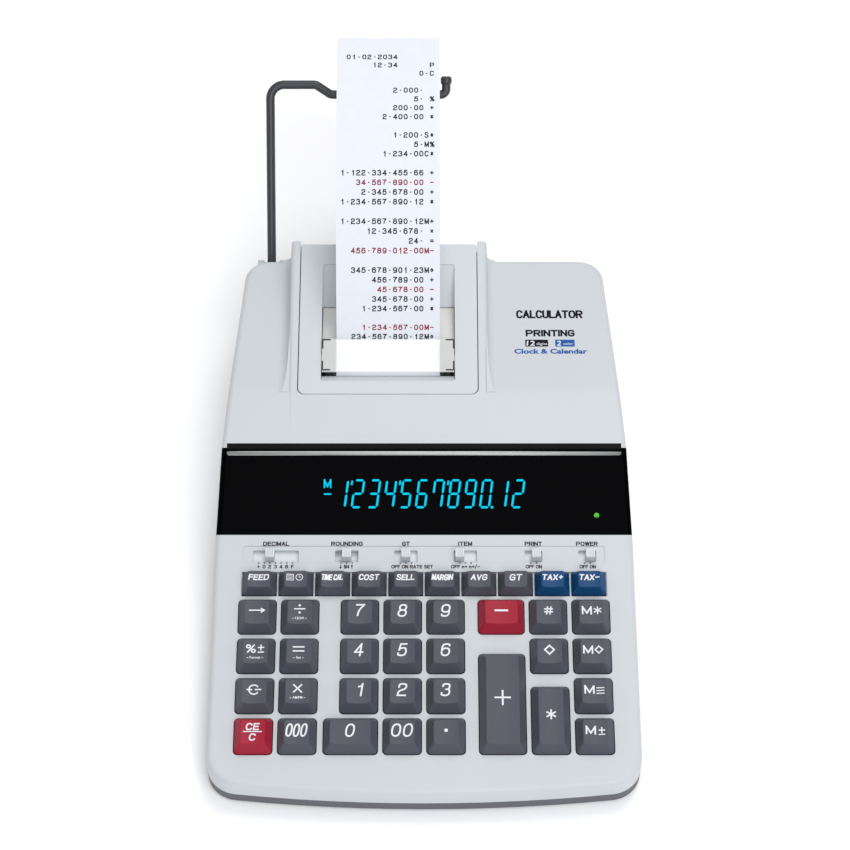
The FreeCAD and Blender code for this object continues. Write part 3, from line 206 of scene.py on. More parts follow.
roll_low, roll_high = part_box("paper_roll")
roll_axis = (roll_low + roll_high) / 2
RING_MM = 0.9          # real windings are 0.07 mm apart, too fine to show
CORE_MM = 7.6
tree, shader, paper_tone = colour_of(finishes["roll_paper"])
place = next(n for n in tree.nodes if n.type == "TEX_COORD").outputs["Object"]
centred = add(tree, "ShaderNodeMapping", {"Location": (0, -roll_axis.y, -roll_axis.z), "Scale": (0, 1, 1)},
              {"Vector": place})
reach = add(tree, "ShaderNodeVectorMath", links={0: centred.outputs[0]}, operation="LENGTH")
turns = add(tree, "ShaderNodeMath", {1: 2 * math.pi / (RING_MM * MM)}, {0: reach.outputs["Value"]},
            operation="MULTIPLY")
wave = add(tree, "ShaderNodeMath", links={0: turns.outputs[0]}, operation="SINE")
ring = add(tree, "ShaderNodeMapRange", {"From Min": 0.4, "From Max": 1.0, "To Max": 0.35},
           {"Value": wave.outputs[0]})
ringed = add(tree, "ShaderNodeMix", {7: linear("C9CCCD")}, {0: ring.outputs[0], 6: paper_tone},
             data_type="RGBA")
core = add(tree, "ShaderNodeMath", {1: CORE_MM * MM}, {0: reach.outputs["Value"]}, operation="LESS_THAN")
cored = add(tree, "ShaderNodeMix", {7: linear("8E7A5E")}, {0: core.outputs[0], 6: ringed.outputs[2]},
            data_type="RGBA")
tree.links.new(cored.outputs[2], shader.inputs["Base Color"])

for name, node in nodes.items():
    node.material_slots[0].material = finishes[slot_of[name]]
print("finishes on CAD pieces:", len(finishes))

# %% [markdown]
# ## The table
# The table is a plain pale sheet of opal acrylic, large enough to fill the view and lit faintly
# from below, which keeps the shadows light.

# %% Table
TABLE_HALF = 6.0
LIT_OPAL = {"Emission Color": (1, 1, 1, 1), "Emission Strength": 0.08}
table_mesh = bpy.data.meshes.new("table")
corners = np.array([(-1, -1), (1, -1), (1, 1), (-1, 1)]) * TABLE_HALF
table_mesh.from_pydata(np.column_stack([corners, np.zeros(4)]).tolist(), [], [(0, 1, 2, 3)])
table_mesh.materials.append(dress("pale_table", "FBFBFC", "FFFFFF", 400, 40, 0.01, 0.7, **LIT_OPAL))
table = bpy.data.objects.new("table", table_mesh)
scene.collection.objects.link(table)
print("table side in metres:", 2 * TABLE_HALF)

# %% [markdown]
# ## Surfaces that carry print
# Legends, labels and the display's digits all lie on a plane or a gentle curve of a CAD piece. Their
# place could be typed in, but then it would go wrong when the CAD changes. A ray cast down onto
# the piece reads the surface instead: two hits give a slope, and the slope gives a local frame
# with x across, u up the slope and n off the surface.


# %% Reading slopes
SKY = 1.0                     # rays start this high, well above every piece
DOWN = Vector((0, 0, -1))


def tree_of(node):
    """A search tree over a CAD piece's faces."""
    return BVHTree.FromObject(nodes[node], bpy.context.evaluated_depsgraph_get())


class Slope:
    """A plane through two surface points: at(x, u, n) = origin + x X + u U + n N, as arrays."""

    def __init__(self, node, x, y0, y1):
        hits = tree_of(node)
        low, high = (np.array(hits.ray_cast(Vector((x, y, SKY)), DOWN)[0]) for y in (y0, y1))
        self.up_slope = (high - low) / np.linalg.norm(high - low)
        self.normal = np.cross((1.0, 0.0, 0.0), self.up_slope)
        self.origin = np.array([0.0, low[1], low[2]])

    def at(self, x, u, n):
        x, u, n = np.broadcast_arrays(x, u, n)
        return self.origin + x[..., None] * np.array([1.0, 0, 0]) + u[..., None] * self.up_slope \
            + n[..., None] * self.normal

    def u_of(self, y):
        """How far up the slope a place y lies."""
        return (y - self.origin[1]) / self.up_slope[1]


DECK_MARGINS = 6 * MM, 2 * MM          # from the front keys' edge and the small keys' rear edge
PANEL_MARGIN, LID_MARGIN = 8 * MM, 5 * MM
BADGE_SHIFT = 1.1 * MM
deck_front, deck_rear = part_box("key_clear")[0].y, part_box("key_feed")[1].y
deck = Slope("top_shell", 0.0, deck_front - DECK_MARGINS[0], deck_rear + DECK_MARGINS[1])
window_low, window_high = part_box("display_window")
panel = Slope("display_window", 0.0, window_low.y + PANEL_MARGIN, window_high.y - PANEL_MARGIN)
cover_low, cover_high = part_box("printer_cover")
lid = Slope("printer_cover", cover_low.x + LID_MARGIN, cover_low.y + LID_MARGIN, cover_high.y - LID_MARGIN)
BADGE_X = (cover_high.x + window_high.x) / 2 - BADGE_SHIFT
rear_deck = Slope("top_shell", BADGE_X, cover_low.y + 30 * MM, cover_low.y + 60 * MM)
for label, slope in (("deck", deck), ("panel", panel), ("lid", lid), ("rear deck", rear_deck)):
    print(label, "climbs", round(math.degrees(math.asin(slope.up_slope[2])), 2), "degrees")


# %% Making a piece from points and faces
def piece(name, points, faces, material, body, smooth=False):
    """A mesh made from an array of points and a list of faces, riding on a CAD body."""
    mesh = bpy.data.meshes.new(name)
    mesh.from_pydata(np.asarray(points).reshape(-1, 3).tolist(), [], [tuple(map(int, f)) for f in faces])
    mesh.materials.append(material)
    mesh.polygons.foreach_set("use_smooth", np.full(len(mesh.polygons), smooth))
    mesh.update()
    made = bpy.data.objects.new(name, mesh)
    scene.collection.objects.link(made)
    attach(made, body)
    return made


print("CAD pieces to ride on:", len(slot_of))

# %% [markdown]
# ## One pen for every sign
# The legends, labels and printed figures share one plain sans alphabet. It could be a font, but
# pen strokes give each sign the true stroke width of its print, however far it is stretched. A
# sign is a few runs of corners on a grid six units high. Straight runs stay as they are; bows and
# rings are rounded by cutting their corners. Small mixed-case words come from Blender's own font.

# %% Rounding and widening a run
def rounded(corners, closed, rounds=3):
    """Corner cutting: each round replaces a side by the points a quarter and three quarters along it."""
    run = np.array(corners, float)
    for _ in range(rounds):
        before, after = (run, np.roll(run, -1, 0)) if closed else (run[:-1], run[1:])
        cut = np.stack([0.75 * before + 0.25 * after, 0.25 * before + 0.75 * after], 1).reshape(-1, 2)
        run = cut if closed else np.concatenate([run[:1], cut, run[-1:]])
    return run


def ribbon(run, width, closed=False):
    """A run as a band: each point moves half a width to both sides along the mitre of its two normals."""
    run = np.concatenate([run, run[:1]]) if closed else np.asarray(run, float)
    way = np.diff(run, axis=0)
    way /= np.linalg.norm(way, axis=1, keepdims=True)
    normal = np.stack([-way[:, 1], way[:, 0]], 1)
    before = np.concatenate([normal[-1:] if closed else normal[:1], normal])
    after = np.concatenate([normal, normal[:1] if closed else normal[-1:]])
    mitre = before + after
    mitre *= width / 2 / np.maximum((mitre * after).sum(1, keepdims=True), 0.6)
    points = np.stack([run - mitre, run + mitre], 1).reshape(-1, 2)
    first = 2 * np.arange(len(run) - 1)[:, None]
    return points, (first + np.array([0, 2, 3, 1])).tolist()


def joined(*shapes):
    """Several flat shapes as one: their points in one array, their faces renumbered."""
    points, faces, start = [], [], 0
    for shape_points, shape_faces in shapes:
        points.append(shape_points)
        faces += [tuple(int(i) + start for i in face) for face in shape_faces]
        start += len(shape_points)
    return np.concatenate(points), faces


def moved(shape, dx=0.0, dy=0.0):
    return shape[0] + (dx, dy), shape[1]


print("a square run rounds to", len(rounded([(0, 0), (1, 0), (1, 1), (0, 1)], True)), "points")

# %% The alphabet
LINE, BOW, RING = "line", "bow", "ring"
LETTER_H, LETTER_GAP, BLANK_W = 6, 1.9, 0.8     # grid units: cap height, gap between letters, a blank
STEM = (LINE, (0, 0), (0, 6))
MIDDLE = (LINE, (0.4, 3), (3.6, 3))
ALPHABET = {
    "0": [(RING, (0, 0), (4, 0), (4, 6), (0, 6))],
    "1": [(LINE, (2.6, 0), (2.6, 6)), (BOW, (2.6, 6), (2.3, 4.7), (0.9, 4.6))],
    "2": [(BOW, (0.1, 4), (0.1, 6), (3.9, 6), (3.9, 3.4), (0.1, 2.4), (0, 0)), (LINE, (0, 0), (4, 0))],
    "3": [(BOW, (0.2, 4.4), (0.2, 6), (3.7, 6), (3.7, 3.2), (1.5, 3.2)),
          (BOW, (1.5, 3.2), (4, 3.2), (4, 0), (0, 0), (0, 1.6))],
    "4": [(LINE, (3, 0), (3, 6), (0, 1.7), (4.2, 1.7))],
    "5": [(LINE, (3.7, 6), (0.7, 6), (0.3, 2.9)),
          (BOW, (0.3, 2.9), (1, 3.9), (4, 4), (4, 0), (0, 0), (0, 1.5))],
    "6": [(BOW, (3.8, 4.8), (3.6, 6), (0, 6), (0, 1.9)), (RING, (0, 0), (4, 0), (4, 3.8), (0, 3.8))],
    "7": [(LINE, (0, 6), (4, 6)), (BOW, (4, 6), (1.6, 3.2), (1.3, 0))],
    "8": [(RING, (0, 0), (4, 0), (4, 3.2), (0, 3.2)), (RING, (0.3, 3.2), (3.7, 3.2), (3.7, 6), (0.3, 6))],
    "9": [(BOW, (0.2, 1.2), (0.4, 0), (4, 0), (4, 4.1)), (RING, (0, 2.2), (4, 2.2), (4, 6), (0, 6))],
    "A": [(LINE, (0, 0), (2.1, 6), (4.2, 0)), (LINE, (0.7, 2), (3.5, 2))],
    "C": [(BOW, (4, 4.2), (3.8, 6), (0, 6.2), (0, -0.2), (3.8, 0), (4, 1.8))],
    "D": [STEM, (BOW, (0, 6), (4.4, 6), (4.4, 0), (0, 0))],
    "E": [(LINE, (3.6, 6), (0, 6), (0, 0), (3.7, 0)), (LINE, (0, 3.1), (3.3, 3.1))],
    "F": [(LINE, (3.5, 6), (0, 6), (0, 0)), (LINE, (0, 3.1), (3, 3.1))],
    "G": [(BOW, (4, 4.4), (3.8, 6), (0, 6.2), (0, -0.2), (4.1, -0.2), (4.1, 2.8)),
          (LINE, (4.1, 2.8), (2.4, 2.8))],
    "I": [STEM], "L": [(LINE, (0, 6), (0, 0), (3.4, 0))],
    "M": [(LINE, (0, 0), (0, 6), (2.2, 0.6), (4.4, 6), (4.4, 0))],
    "N": [(LINE, (0, 0), (0, 6), (4, 0), (4, 6))],
    "O": [(RING, (0, 0), (4.6, 0), (4.6, 6), (0, 6))],
    "P": [STEM, (BOW, (0, 6), (4.4, 6), (4.4, 2.7), (0, 2.7))],
    "R": [STEM, (BOW, (0, 6), (4.4, 6), (4.4, 2.9), (0, 2.9)), (LINE, (2.2, 2.9), (4, 0))],
    "S": [(BOW, (3.7, 4.5), (3.6, 6.1), (0.2, 6.2), (0.1, 3.5), (3.9, 2.8), (4, -0.1), (0.1, -0.1),
           (0, 1.5))],
    "T": [(LINE, (0, 6), (4, 6)), (LINE, (2, 6), (2, 0))],
    "U": [(LINE, (0, 6), (0, 3)), (BOW, (0, 3), (0, 0), (4, 0), (4, 3)), (LINE, (4, 3), (4, 6))],
    "V": [(LINE, (0, 6), (2, 0), (4, 6))], "W": [(LINE, (0, 6), (1.3, 0), (2.7, 6), (4.1, 0), (5.4, 6))],
    "X": [(LINE, (0, 0), (4, 6)), (LINE, (0, 6), (4, 0))],
    "n": [(LINE, (0, 0), (0, 4)), (BOW, (0, 2.5), (0.6, 4), (3, 4.2), (3, 2)), (LINE, (3, 2), (3, 0))],
    "d": [(LINE, (0, 6), (0, 0)), (LINE, (-1.1, 1.5), (0, 0), (1.1, 1.5))],
    "u": [(LINE, (0, 6), (0, 0)), (LINE, (-1.1, 4.5), (0, 6), (1.1, 4.5))],
    "%": [(LINE, (0.6, 0), (4.2, 6)), (RING, (0, 3.6), (2, 3.6), (2, 6), (0, 6)),
          (RING, (2.8, 0), (4.8, 0), (4.8, 2.4), (2.8, 2.4))],
    "-": [MIDDLE], "+": [MIDDLE, (LINE, (2, 1.4), (2, 4.6))], "/": [(LINE, (0, -0.3), (2.6, 6.3))],
    "=": [(LINE, (0.4, 2), (3.6, 2)), (LINE, (0.4, 4), (3.6, 4))],
    "x": [(LINE, (0.8, 1.6), (3.2, 4.4)), (LINE, (0.8, 4.4), (3.2, 1.6))],
    "*": [(LINE, (0.8, 1.8), (3.2, 4.2)), (LINE, (0.8, 4.2), (3.2, 1.8)), (LINE, (2, 1.3), (2, 4.7))],
    ",": [(LINE, (1.8, 2.9), (2.3, 2.9))], "o": [(LINE, (2, 1.2), (3.6, 3), (2, 4.8), (0.4, 3), (2, 1.2))],
}
print("letters:", len(ALPHABET))


# %% Writing with the pen
def band(kind, run, width):
    """One run drawn with the pen: straight steps as bars with square ends, bows and rings as one ribbon."""
    if kind != LINE:
        return ribbon(run, width, kind == RING)
    way = np.diff(run, axis=0)
    way *= width / 2 / np.linalg.norm(way, axis=1, keepdims=True)
    return joined(*[ribbon(step, width) for step in np.stack([run[:-1] - way, run[1:] + way], 1)])


def lettering(text, cap_mm, pen_mm, width_mm=None, slant=0.0):
    """Text centred on the origin: runs side by side, scaled to height and width, widened, slanted."""
    runs, reach = [], 0.0
    for character in text:
        marks = ALPHABET.get(character, [])
        for kind, *corners in marks:
            run = np.array(corners, float) if kind == LINE else rounded(corners, kind == RING)
            runs.append((kind, run + (reach, 0)))
        reach += max((x for _, *corners in marks for x, _ in corners), default=BLANK_W) + LETTER_GAP
    reach -= LETTER_GAP
    tall = (cap_mm - pen_mm) / LETTER_H
    wide = (width_mm - pen_mm) / max(reach, 0.1) if width_mm else tall
    middle = (reach / 2, LETTER_H / 2)
    points, faces = joined(*[band(kind, (run - middle) * (wide * MM, tall * MM), pen_mm * MM)
                             for kind, run in runs])
    points[:, 0] += slant * points[:, 1]
    return points, faces


print("width of TAX in mm:", round(float(np.ptp(lettering("TAX", 3.5, 0.7)[0][:, 0])) / MM, 2))

# %% Small words in the built-in font
FONT_CAP = 0.727        # cap height of the built-in font at size 1


def words(text, cap_mm, width_mm, slant=0.0, weight=0.0):
    """A line in Blender's own font as a mesh, then scaled to its height and width about the origin."""
    curve = bpy.data.curves.new("line", "FONT")
    curve.body, curve.offset, curve.resolution_u = text, weight, 3
    holder = bpy.data.objects.new("line", curve)
    mesh = bpy.data.meshes.new_from_object(holder)
    points = np.zeros(len(mesh.vertices) * 3)
    mesh.vertices.foreach_get("co", points)
    points = points.reshape(-1, 3)[:, :2]
    faces = [tuple(face.vertices) for face in mesh.polygons]
    bpy.data.objects.remove(holder)
    bpy.data.meshes.remove(mesh)
    bpy.data.curves.remove(curve)
    points = points * (width_mm * MM / np.ptp(points[:, 0]), cap_mm * MM / FONT_CAP)
    points[:, 1] -= cap_mm * MM / 2
    points[:, 0] += slant * points[:, 1]
    points[:, 0] -= (points[:, 0].min() + points[:, 0].max()) / 2
    return points, faces


print("faces in the word Set:", len(words("Set", 1.4, 2.6)[1]))


# %% Discs, plates and signs
def strokes(runs, pen_mm, size_mm=1.0):
    """Straight runs on a unit grid as bands of one pen width."""
    return joined(*[ribbon(np.array(run, float) * size_mm * MM, pen_mm * MM) for run in runs])


def disc(radius, count=24):
    """A flat disc: points at equal angles round the origin."""
    turn = np.linspace(0, 2 * math.pi, count, endpoint=False)
    return np.stack([np.cos(turn), np.sin(turn)], 1) * radius, [tuple(range(count))]


def plate(width, height, radius, count=28):
    """A flat rectangle with rounded corners: quarter circles about four inner corners."""
    turn = np.linspace(0, 2 * math.pi, count, endpoint=False) + math.pi / count
    round_part = np.stack([np.cos(turn), np.sin(turn)], 1)
    corner = np.sign(round_part) * (width / 2 - radius, height / 2 - radius)
    return round_part * radius + corner, [tuple(range(count))]


SIGNS = {
    "plus": [[(-1, 0), (1, 0)], [(0, -1), (0, 1)]],
    "minus": [[(-1, 0), (1, 0)]],
    "equals": [[(-1, 0.38), (1, 0.38)], [(-1, -0.38), (1, -0.38)]],
    "times": [[(-0.8, -0.8), (0.8, 0.8)], [(-0.8, 0.8), (0.8, -0.8)]],
    "arrow": [[(-1, 0), (0.9, 0)], [(0.55, 0.3), (1, 0), (0.55, -0.3)]],
    "star": [[(0, -1), (0, 1)], [(-0.87, -0.5), (0.87, 0.5)], [(-0.87, 0.5), (0.87, -0.5)]],
    "diamond": [[(0, -1), (1, 0), (0, 1), (-1, 0), (0, -1), (0.1, -0.9)]],
    "hash": [[(-0.45, -1), (-0.2, 1)], [(0.3, -1), (0.55, 1)], [(-1, 0.35), (1, 0.35)],
             [(-1, -0.35), (1, -0.35)]],
    "bars": [[(-1, 0.75), (1, 0.75)], [(-1, 0), (1, 0)], [(-1, -0.75), (1, -0.75)]],
    "frame": [[(-1, -1), (1, -1), (1, 1), (-1, 1), (-1, -1), (-0.9, -1)]],
    "hands": [[(0, 0.7), (0, 0), (0.6, 0)]],
}


def sign(name, size_mm, pen_mm):
    """One sign, size_mm from its middle to its edge."""
    return strokes(SIGNS[name], pen_mm, size_mm)


def arc(radius_mm, first, last, pen_mm):
    """Part of a circle between two angles in degrees, as a band."""
    turn = np.radians(np.linspace(first, last, 24))
    return ribbon(np.stack([np.cos(turn), np.sin(turn)], 1) * radius_mm * MM, pen_mm * MM)


print("signs:", len(SIGNS))

# %% [markdown]
# ## Key legends
# On the real keys the white figures are moulded through the dark plastic, so they never wear off
# and lie flush with the dished top. Each legend is therefore a thin skin on the dish. The dish is
# read with nine rays across the key and a parabola is fitted to the hits; every point of the
# legend takes its height from that parabola. Legends ride on their key's body and go down with it.

# %% Legend shapes
SLANT = 0.15
SECOND_LINE_DROP = 4.4 * MM
legend_white = dress("legend_white_abs", "DFE0E4", "E6E7EA", 5, 0.8, 0.004, 0.45)


def caption(text, width_mm, cap_mm=3.5):
    """A word on a small key."""
    return lettering(text, cap_mm, 0.7, width_mm, SLANT)


def figure(text, width_mm=4.9):
    """Large numbers on a main key."""
    return lettering(text, 7.5, 0.92, width_mm, SLANT)


def second_line(text, width_mm):
    """A small second line under a sign, between two short dashes."""
    dash = sign("minus", 0.5, 0.25)
    shift = (width_mm / 2 + 1.1) * MM
    row = joined(words(text, 1.4, width_mm, 0, 0.02), moved(dash, -shift, -0.3 * MM),
                 moved(dash, shift, -0.3 * MM))
    return moved(row, 0, -SECOND_LINE_DROP)


def memory(extra):
    """A capital M with a sign beside it."""
    return joined(moved(lettering("M", 4.8, 0.85, 5.4), -2.5 * MM), moved(extra, 3.2 * MM))


divide = joined(sign("minus", 3.0, 0.75), moved(disc(0.66 * MM), 0, 2.1 * MM),
                moved(disc(0.66 * MM), 0, -2.1 * MM))
swap = joined(arc(2.6, 35, 145, 0.75), arc(2.6, 215, 325, 0.75), moved(sign("plus", 1.5, 0.75), -2.4 * MM),
              moved(sign("minus", 1.7, 0.75), 2.2 * MM))
clear = joined(moved(lettering("CE", 4.0, 0.75, 7.0, SLANT), 0, 2.9 * MM), sign("minus", 4.9, 0.6),
               moved(lettering("C", 4.0, 0.75, 3.4, SLANT), 0, -2.9 * MM))
percent = joined(moved(lettering("%", 4.9, 0.75, 5.2), -2.3 * MM),
                 moved(sign("plus", 1.7, 0.7), 3.0 * MM, 0.6 * MM),
                 moved(sign("minus", 1.7, 0.7), 3.0 * MM, -2.1 * MM))
clock_icon = joined(
    moved(sign("frame", 1.7, 0.4), -2.9 * MM), moved(sign("bars", 1.1, 0.32), -2.9 * MM),
    moved(arc(1.8, 0, 360, 0.42), 2.0 * MM), moved(sign("hands", 1.5, 0.4), 2.0 * MM))
double_bar = joined(sign("plus", 1.7, 0.65), moved(sign("minus", 1.7, 0.6), 0, -2.4 * MM))
print("faces in the clock icon:", len(clock_icon[1]))

# %% The legend of each key, widths and sizes in millimetres
legends = {
    "key_feed": caption("FEED", 11.0), "key_clock": clock_icon, "key_time": caption("TIME CAL", 11.6),
    "key_cost": caption("COST", 10.8), "key_sell": caption("SELL", 9.8),
    "key_margin": caption("MARGIN", 11.4),
    "key_average": caption("AVG", 8.8), "key_grand_total": caption("GT", 6.6, 3.8),
    "key_tax_plus": caption("TAX+", 11.2), "key_tax_minus": caption("TAX-", 10.8),
    "key_shift": sign("arrow", 4.1, 0.75),
    "key_divide": joined(moved(divide, 0, 0.9 * MM), second_line("12/24", 4.6)),
    "key_percent": joined(moved(percent, 0, 0.6 * MM), second_line("Format", 5.6)),
    "key_equals": joined(moved(sign("equals", 3.1, 0.8), 0, 0.4 * MM), second_line("Set", 2.6)),
    "key_sign": swap, "key_clear": clear,
    "key_multiply": joined(moved(sign("times", 2.9, 0.8), 0, 0.7 * MM), second_line("AM/PM", 5.2)),
    "key_000": figure("000", 11.2), "key_00": figure("00", 11.2), "key_point": disc(0.95 * MM),
    "key_minus": sign("minus", 3.6, 1.1), "key_plus": sign("plus", 4.3, 0.95),
    "key_total": sign("star", 2.8, 0.85),
    "key_item_count": sign("hash", 2.4, 0.7), "key_subtotal": sign("diamond", 2.5, 0.85),
    "key_memory_total": memory(sign("star", 2.3, 0.65)),
    "key_memory_subtotal": memory(sign("diamond", 2.0, 0.7)),
    "key_memory_minus": memory(moved(sign("bars", 2.1, 0.55), 0, -0.6 * MM)),
    "key_memory_plus": memory(double_bar),
}
legends.update({"key_" + digit: figure(digit, 4.2 if digit == "1" else 4.9) for digit in "0123456789"})
print("legend shapes:", len(legends))


# %% Lay each legend on its key
SKIN = 0.05 * MM
LIFT = 0.9 * MM               # legends stand a little behind the key's middle
TOP_BAND = 0.4 * MM           # points this close to the highest one belong to the top face
RAY_START = 0.1


def dish_of(node):
    """A key's middle and the parabola n(x) of its dished top, in the deck's directions."""
    points = np.zeros(len(nodes[node].data.vertices) * 3)
    nodes[node].data.vertices.foreach_get("co", points)
    points = points.reshape(-1, 3) - deck.origin
    u, n = points @ deck.up_slope, points @ deck.normal
    top = points[n > n.max() - TOP_BAND, 0]
    middle, half = (top.min() + top.max()) / 2, np.ptp(top) / 2
    u_middle = (u.min() + u.max()) / 2
    hits, across = tree_of(node), np.linspace(-0.75, 0.75, 9) * half
    above = deck.at(middle + across, u_middle, RAY_START)
    rays = [hits.ray_cast(Vector(start), Vector(-deck.normal))[3] for start in above]
    return middle, u_middle, np.polyfit(across, RAY_START - np.array(rays), 2)


for key, (flat, faces) in legends.items():
    middle, u_middle, dish = dish_of(key)
    x, u = flat[:, 0], flat[:, 1] + (0 if key == "key_clear" else LIFT)
    points = deck.at(middle + x, u_middle + u, np.polyval(dish, x) + SKIN)
    made = piece("legend_" + key[4:], points, faces, legend_white, key)
print("legends:", len(legends))

# %% [markdown]
# ## The display
# A vacuum fluorescent tube shows slanted seven-segment figures that glow blue-green behind the
# smoked window. Each segment is a bar with pointed ends. A digit is a choice of seven bars, so the
# whole number is one array of bars: six corner points each, shifted to its digit and then slanted.

# %% Seven-segment figures
SEGMENTS = {"a": (0, 2, 1, 2), "b": (1, 1, 1, 2), "c": (1, 0, 1, 1), "d": (0, 0, 1, 0), "e": (0, 0, 0, 1),
            "f": (0, 1, 0, 2), "g": (0, 1, 1, 1)}
LIT = {"0": "abcdef", "1": "bc", "2": "abged", "3": "abgcd", "4": "fgbc", "5": "afgcd", "6": "afgcde",
       "7": "fabc", "8": "abcdefg", "9": "abcdfg"}
DIGIT_W, DIGIT_H = 4.9 * MM, 14.7 * MM
DIGIT_PITCH = 8.73 * MM
BAR_W = 1.15 * MM
GAP = 0.32 * MM


def segment_bars(number):
    """Six points per bar: two tips on the bar's line and four corners half a width in and aside."""
    lines = [(i, *SEGMENTS[s]) for i, digit in enumerate(number) for s in LIT[digit]]
    table = np.array(lines, float)
    size = np.array([DIGIT_W, DIGIT_H / 2])
    a, b = table[:, 1:3] * size, table[:, 3:5] * size
    way = (b - a) / np.linalg.norm(b - a, axis=1, keepdims=True)
    side = np.stack([-way[:, 1], way[:, 0]], 1) * BAR_W / 2
    a, b = a + way * GAP, b - way * GAP
    inner_a, inner_b = a + way * BAR_W / 2, b - way * BAR_W / 2
    points = np.stack([a, inner_a - side, inner_b - side, b, inner_b + side, inner_a + side], 1)
    points[..., 0] += table[:, :1] * DIGIT_PITCH
    points = points.reshape(-1, 2)
    return points, np.arange(len(points)).reshape(-1, 6).tolist()


def glow(name, colour, strength):
    """A lamp's own light: a dark body whose emission flickers slightly with a fine phosphor grain."""
    material = dress(name, "020304", "040506", 5, 0.5, 0.002, 0.5, **{"Specular IOR Level": 0.03})
    tree, shader, _ = colour_of(material)
    place = next(n for n in tree.nodes if n.type == "TEX_COORD").outputs["Object"]
    grain = add(tree, "ShaderNodeTexNoise", {"Scale": 1 / (1.2 * MM)}, {"Vector": place})
    dimmed = (*(0.86 * c for c in linear(colour)[:3]), 1.0)
    tone = add(tree, "ShaderNodeMix", {6: linear(colour), 7: dimmed}, {0: grain.outputs["Fac"]},
               data_type="RGBA")
    tree.links.new(tone.outputs[2], shader.inputs["Emission Color"])
    shader.inputs["Emission Strength"].default_value = strength
    return material


print("segments of a digit:", len(SEGMENTS))

# %% The number on the display
NUMBER = "123456789012"
BEFORE_TICKS, BEFORE_POINT = (1, 4, 7), 9          # digits that stand before a tick or the point
FIRST_X = window_low.x + 65.2 * MM
DIGITS_UP = 15.0 * MM
TICK_BACK, TICK_DROP = 1.6 * MM, 1.4 * MM
POINT_GAP, POINT_R = 1.7 * MM, 0.75 * MM
LEAN = 0.13
GLASS = 0.04 * MM
MEMORY_X, MEMORY_UP, MEMORY_BAR_DROP = -52.6 * MM, 7.2 * MM, 5.7 * MM
digits_low = panel.u_of(window_low.y) + DIGITS_UP
figures, bars = segment_bars(NUMBER)
ticks = [(i * DIGIT_PITCH - TICK_BACK, DIGIT_H - TICK_DROP) for i in BEFORE_TICKS]
tick_bar = strokes([[(0, -1.2), (0, 1.2)]], 0.95)
point_x = BEFORE_POINT * DIGIT_PITCH + DIGIT_W + POINT_GAP
shown = joined((figures, bars), *[moved(tick_bar, *place) for place in ticks],
               moved(disc(POINT_R), point_x, 0))
flat = shown[0] + np.column_stack([shown[0][:, 1] * LEAN, np.zeros(len(shown[0]))])
phosphor = glow("blue_green_phosphor", "00D2F6", 1.12)
points = panel.at(flat[:, 0] + FIRST_X, flat[:, 1] + digits_low, GLASS)
piece("display_digits", points, shown[1], phosphor, "case")
memory_sign = joined(moved(lettering("M", 4.8, 0.8, 4.2), 0, MEMORY_BAR_DROP), sign("minus", 2.0, 0.8))
flat = memory_sign[0] + (MEMORY_X, digits_low + MEMORY_UP)
points = panel.at(flat[:, 0], flat[:, 1], GLASS)
piece("display_memory_sign", points, memory_sign[1], phosphor, "case")
print("display bars:", len(bars))

# %% [markdown]
# ## The power lamp and the trim
# A green lamp stands in a small hole of the window. It is a dome: circles whose radius falls as the
# cosine of their height angle. Above the display lies a pressed trim strip of brushed metal foil, a
# shallow pillow with rounded ends.


# %% Faces of a grid
def grid_faces(rows, columns, closed):
    """Four-sided faces between a grid's neighbours; a closed grid joins its last column to its first."""
    index = np.arange(rows * columns).reshape(rows, columns)
    if closed:
        index = np.column_stack([index, index[:, 0]])
    quads = np.stack([index[:-1, :-1], index[:-1, 1:], index[1:, 1:], index[1:, :-1]], -1)
    return quads.reshape(-1, 4).tolist()


print("faces of a 2 by 3 grid:", grid_faces(2, 3, False))

# %% Power lamp
LAMP_X, LAMP_UP, LAMP_R = 93.9 * MM, 10.6 * MM, 1.42 * MM
LAMP_FLATNESS = 0.6
LAMP_ROWS, LAMP_COLUMNS = 9, 28
lamp_u = panel.u_of(window_low.y) + LAMP_UP
rise = np.linspace(-0.3, math.pi / 2 - 0.02, LAMP_ROWS)[:, None]
turn = np.linspace(0, 2 * math.pi, LAMP_COLUMNS, endpoint=False)[None, :]
dome = panel.at(LAMP_X + LAMP_R * np.cos(rise) * np.cos(turn), lamp_u + LAMP_R * np.cos(rise) * np.sin(turn),
                LAMP_R * np.sin(rise) * LAMP_FLATNESS + 0 * turn)
cap = tuple(range((LAMP_ROWS - 1) * LAMP_COLUMNS, LAMP_ROWS * LAMP_COLUMNS))
lamp = piece("power_lamp", dome, grid_faces(LAMP_ROWS, LAMP_COLUMNS, True) + [cap],
             glow("green_lamp", "5FD03C", 1.0), "case", smooth=True)
print("lamp radius mm:", LAMP_R / MM)

# %% Trim strip
foil = dress("brushed_foil", "B2B2B0", "BEBEBC", 30, 0.6, 0.01, 0.42, Metallic=0.3)
TRIM_HALF, TRIM_W, TRIM_T = 107.6 * MM, 3.3 * MM, 0.4 * MM
TRIM_DROP = 4.0 * MM                     # from the window's rear edge to the strip's middle
END_SHARE = 0.012                        # the rounded share of the strip at each end
TRIM_ROWS, TRIM_COLUMNS = 13, 61
FACE_COLUMNS = 41                        # a known fault: it should be 61 as well, so faces cross
trim_u = panel.u_of(window_high.y) - TRIM_DROP
across = np.linspace(-1, 1, TRIM_ROWS)[:, None]
runs = np.sin(np.linspace(-math.pi / 2, math.pi / 2, TRIM_COLUMNS))[None, :]
end_fall = np.sqrt(np.clip(1 - np.clip((np.abs(runs) - 1 + END_SHARE) / END_SHARE, 0, 1) ** 2, 0.02, 1))
trim_x = runs * TRIM_HALF + 0 * across
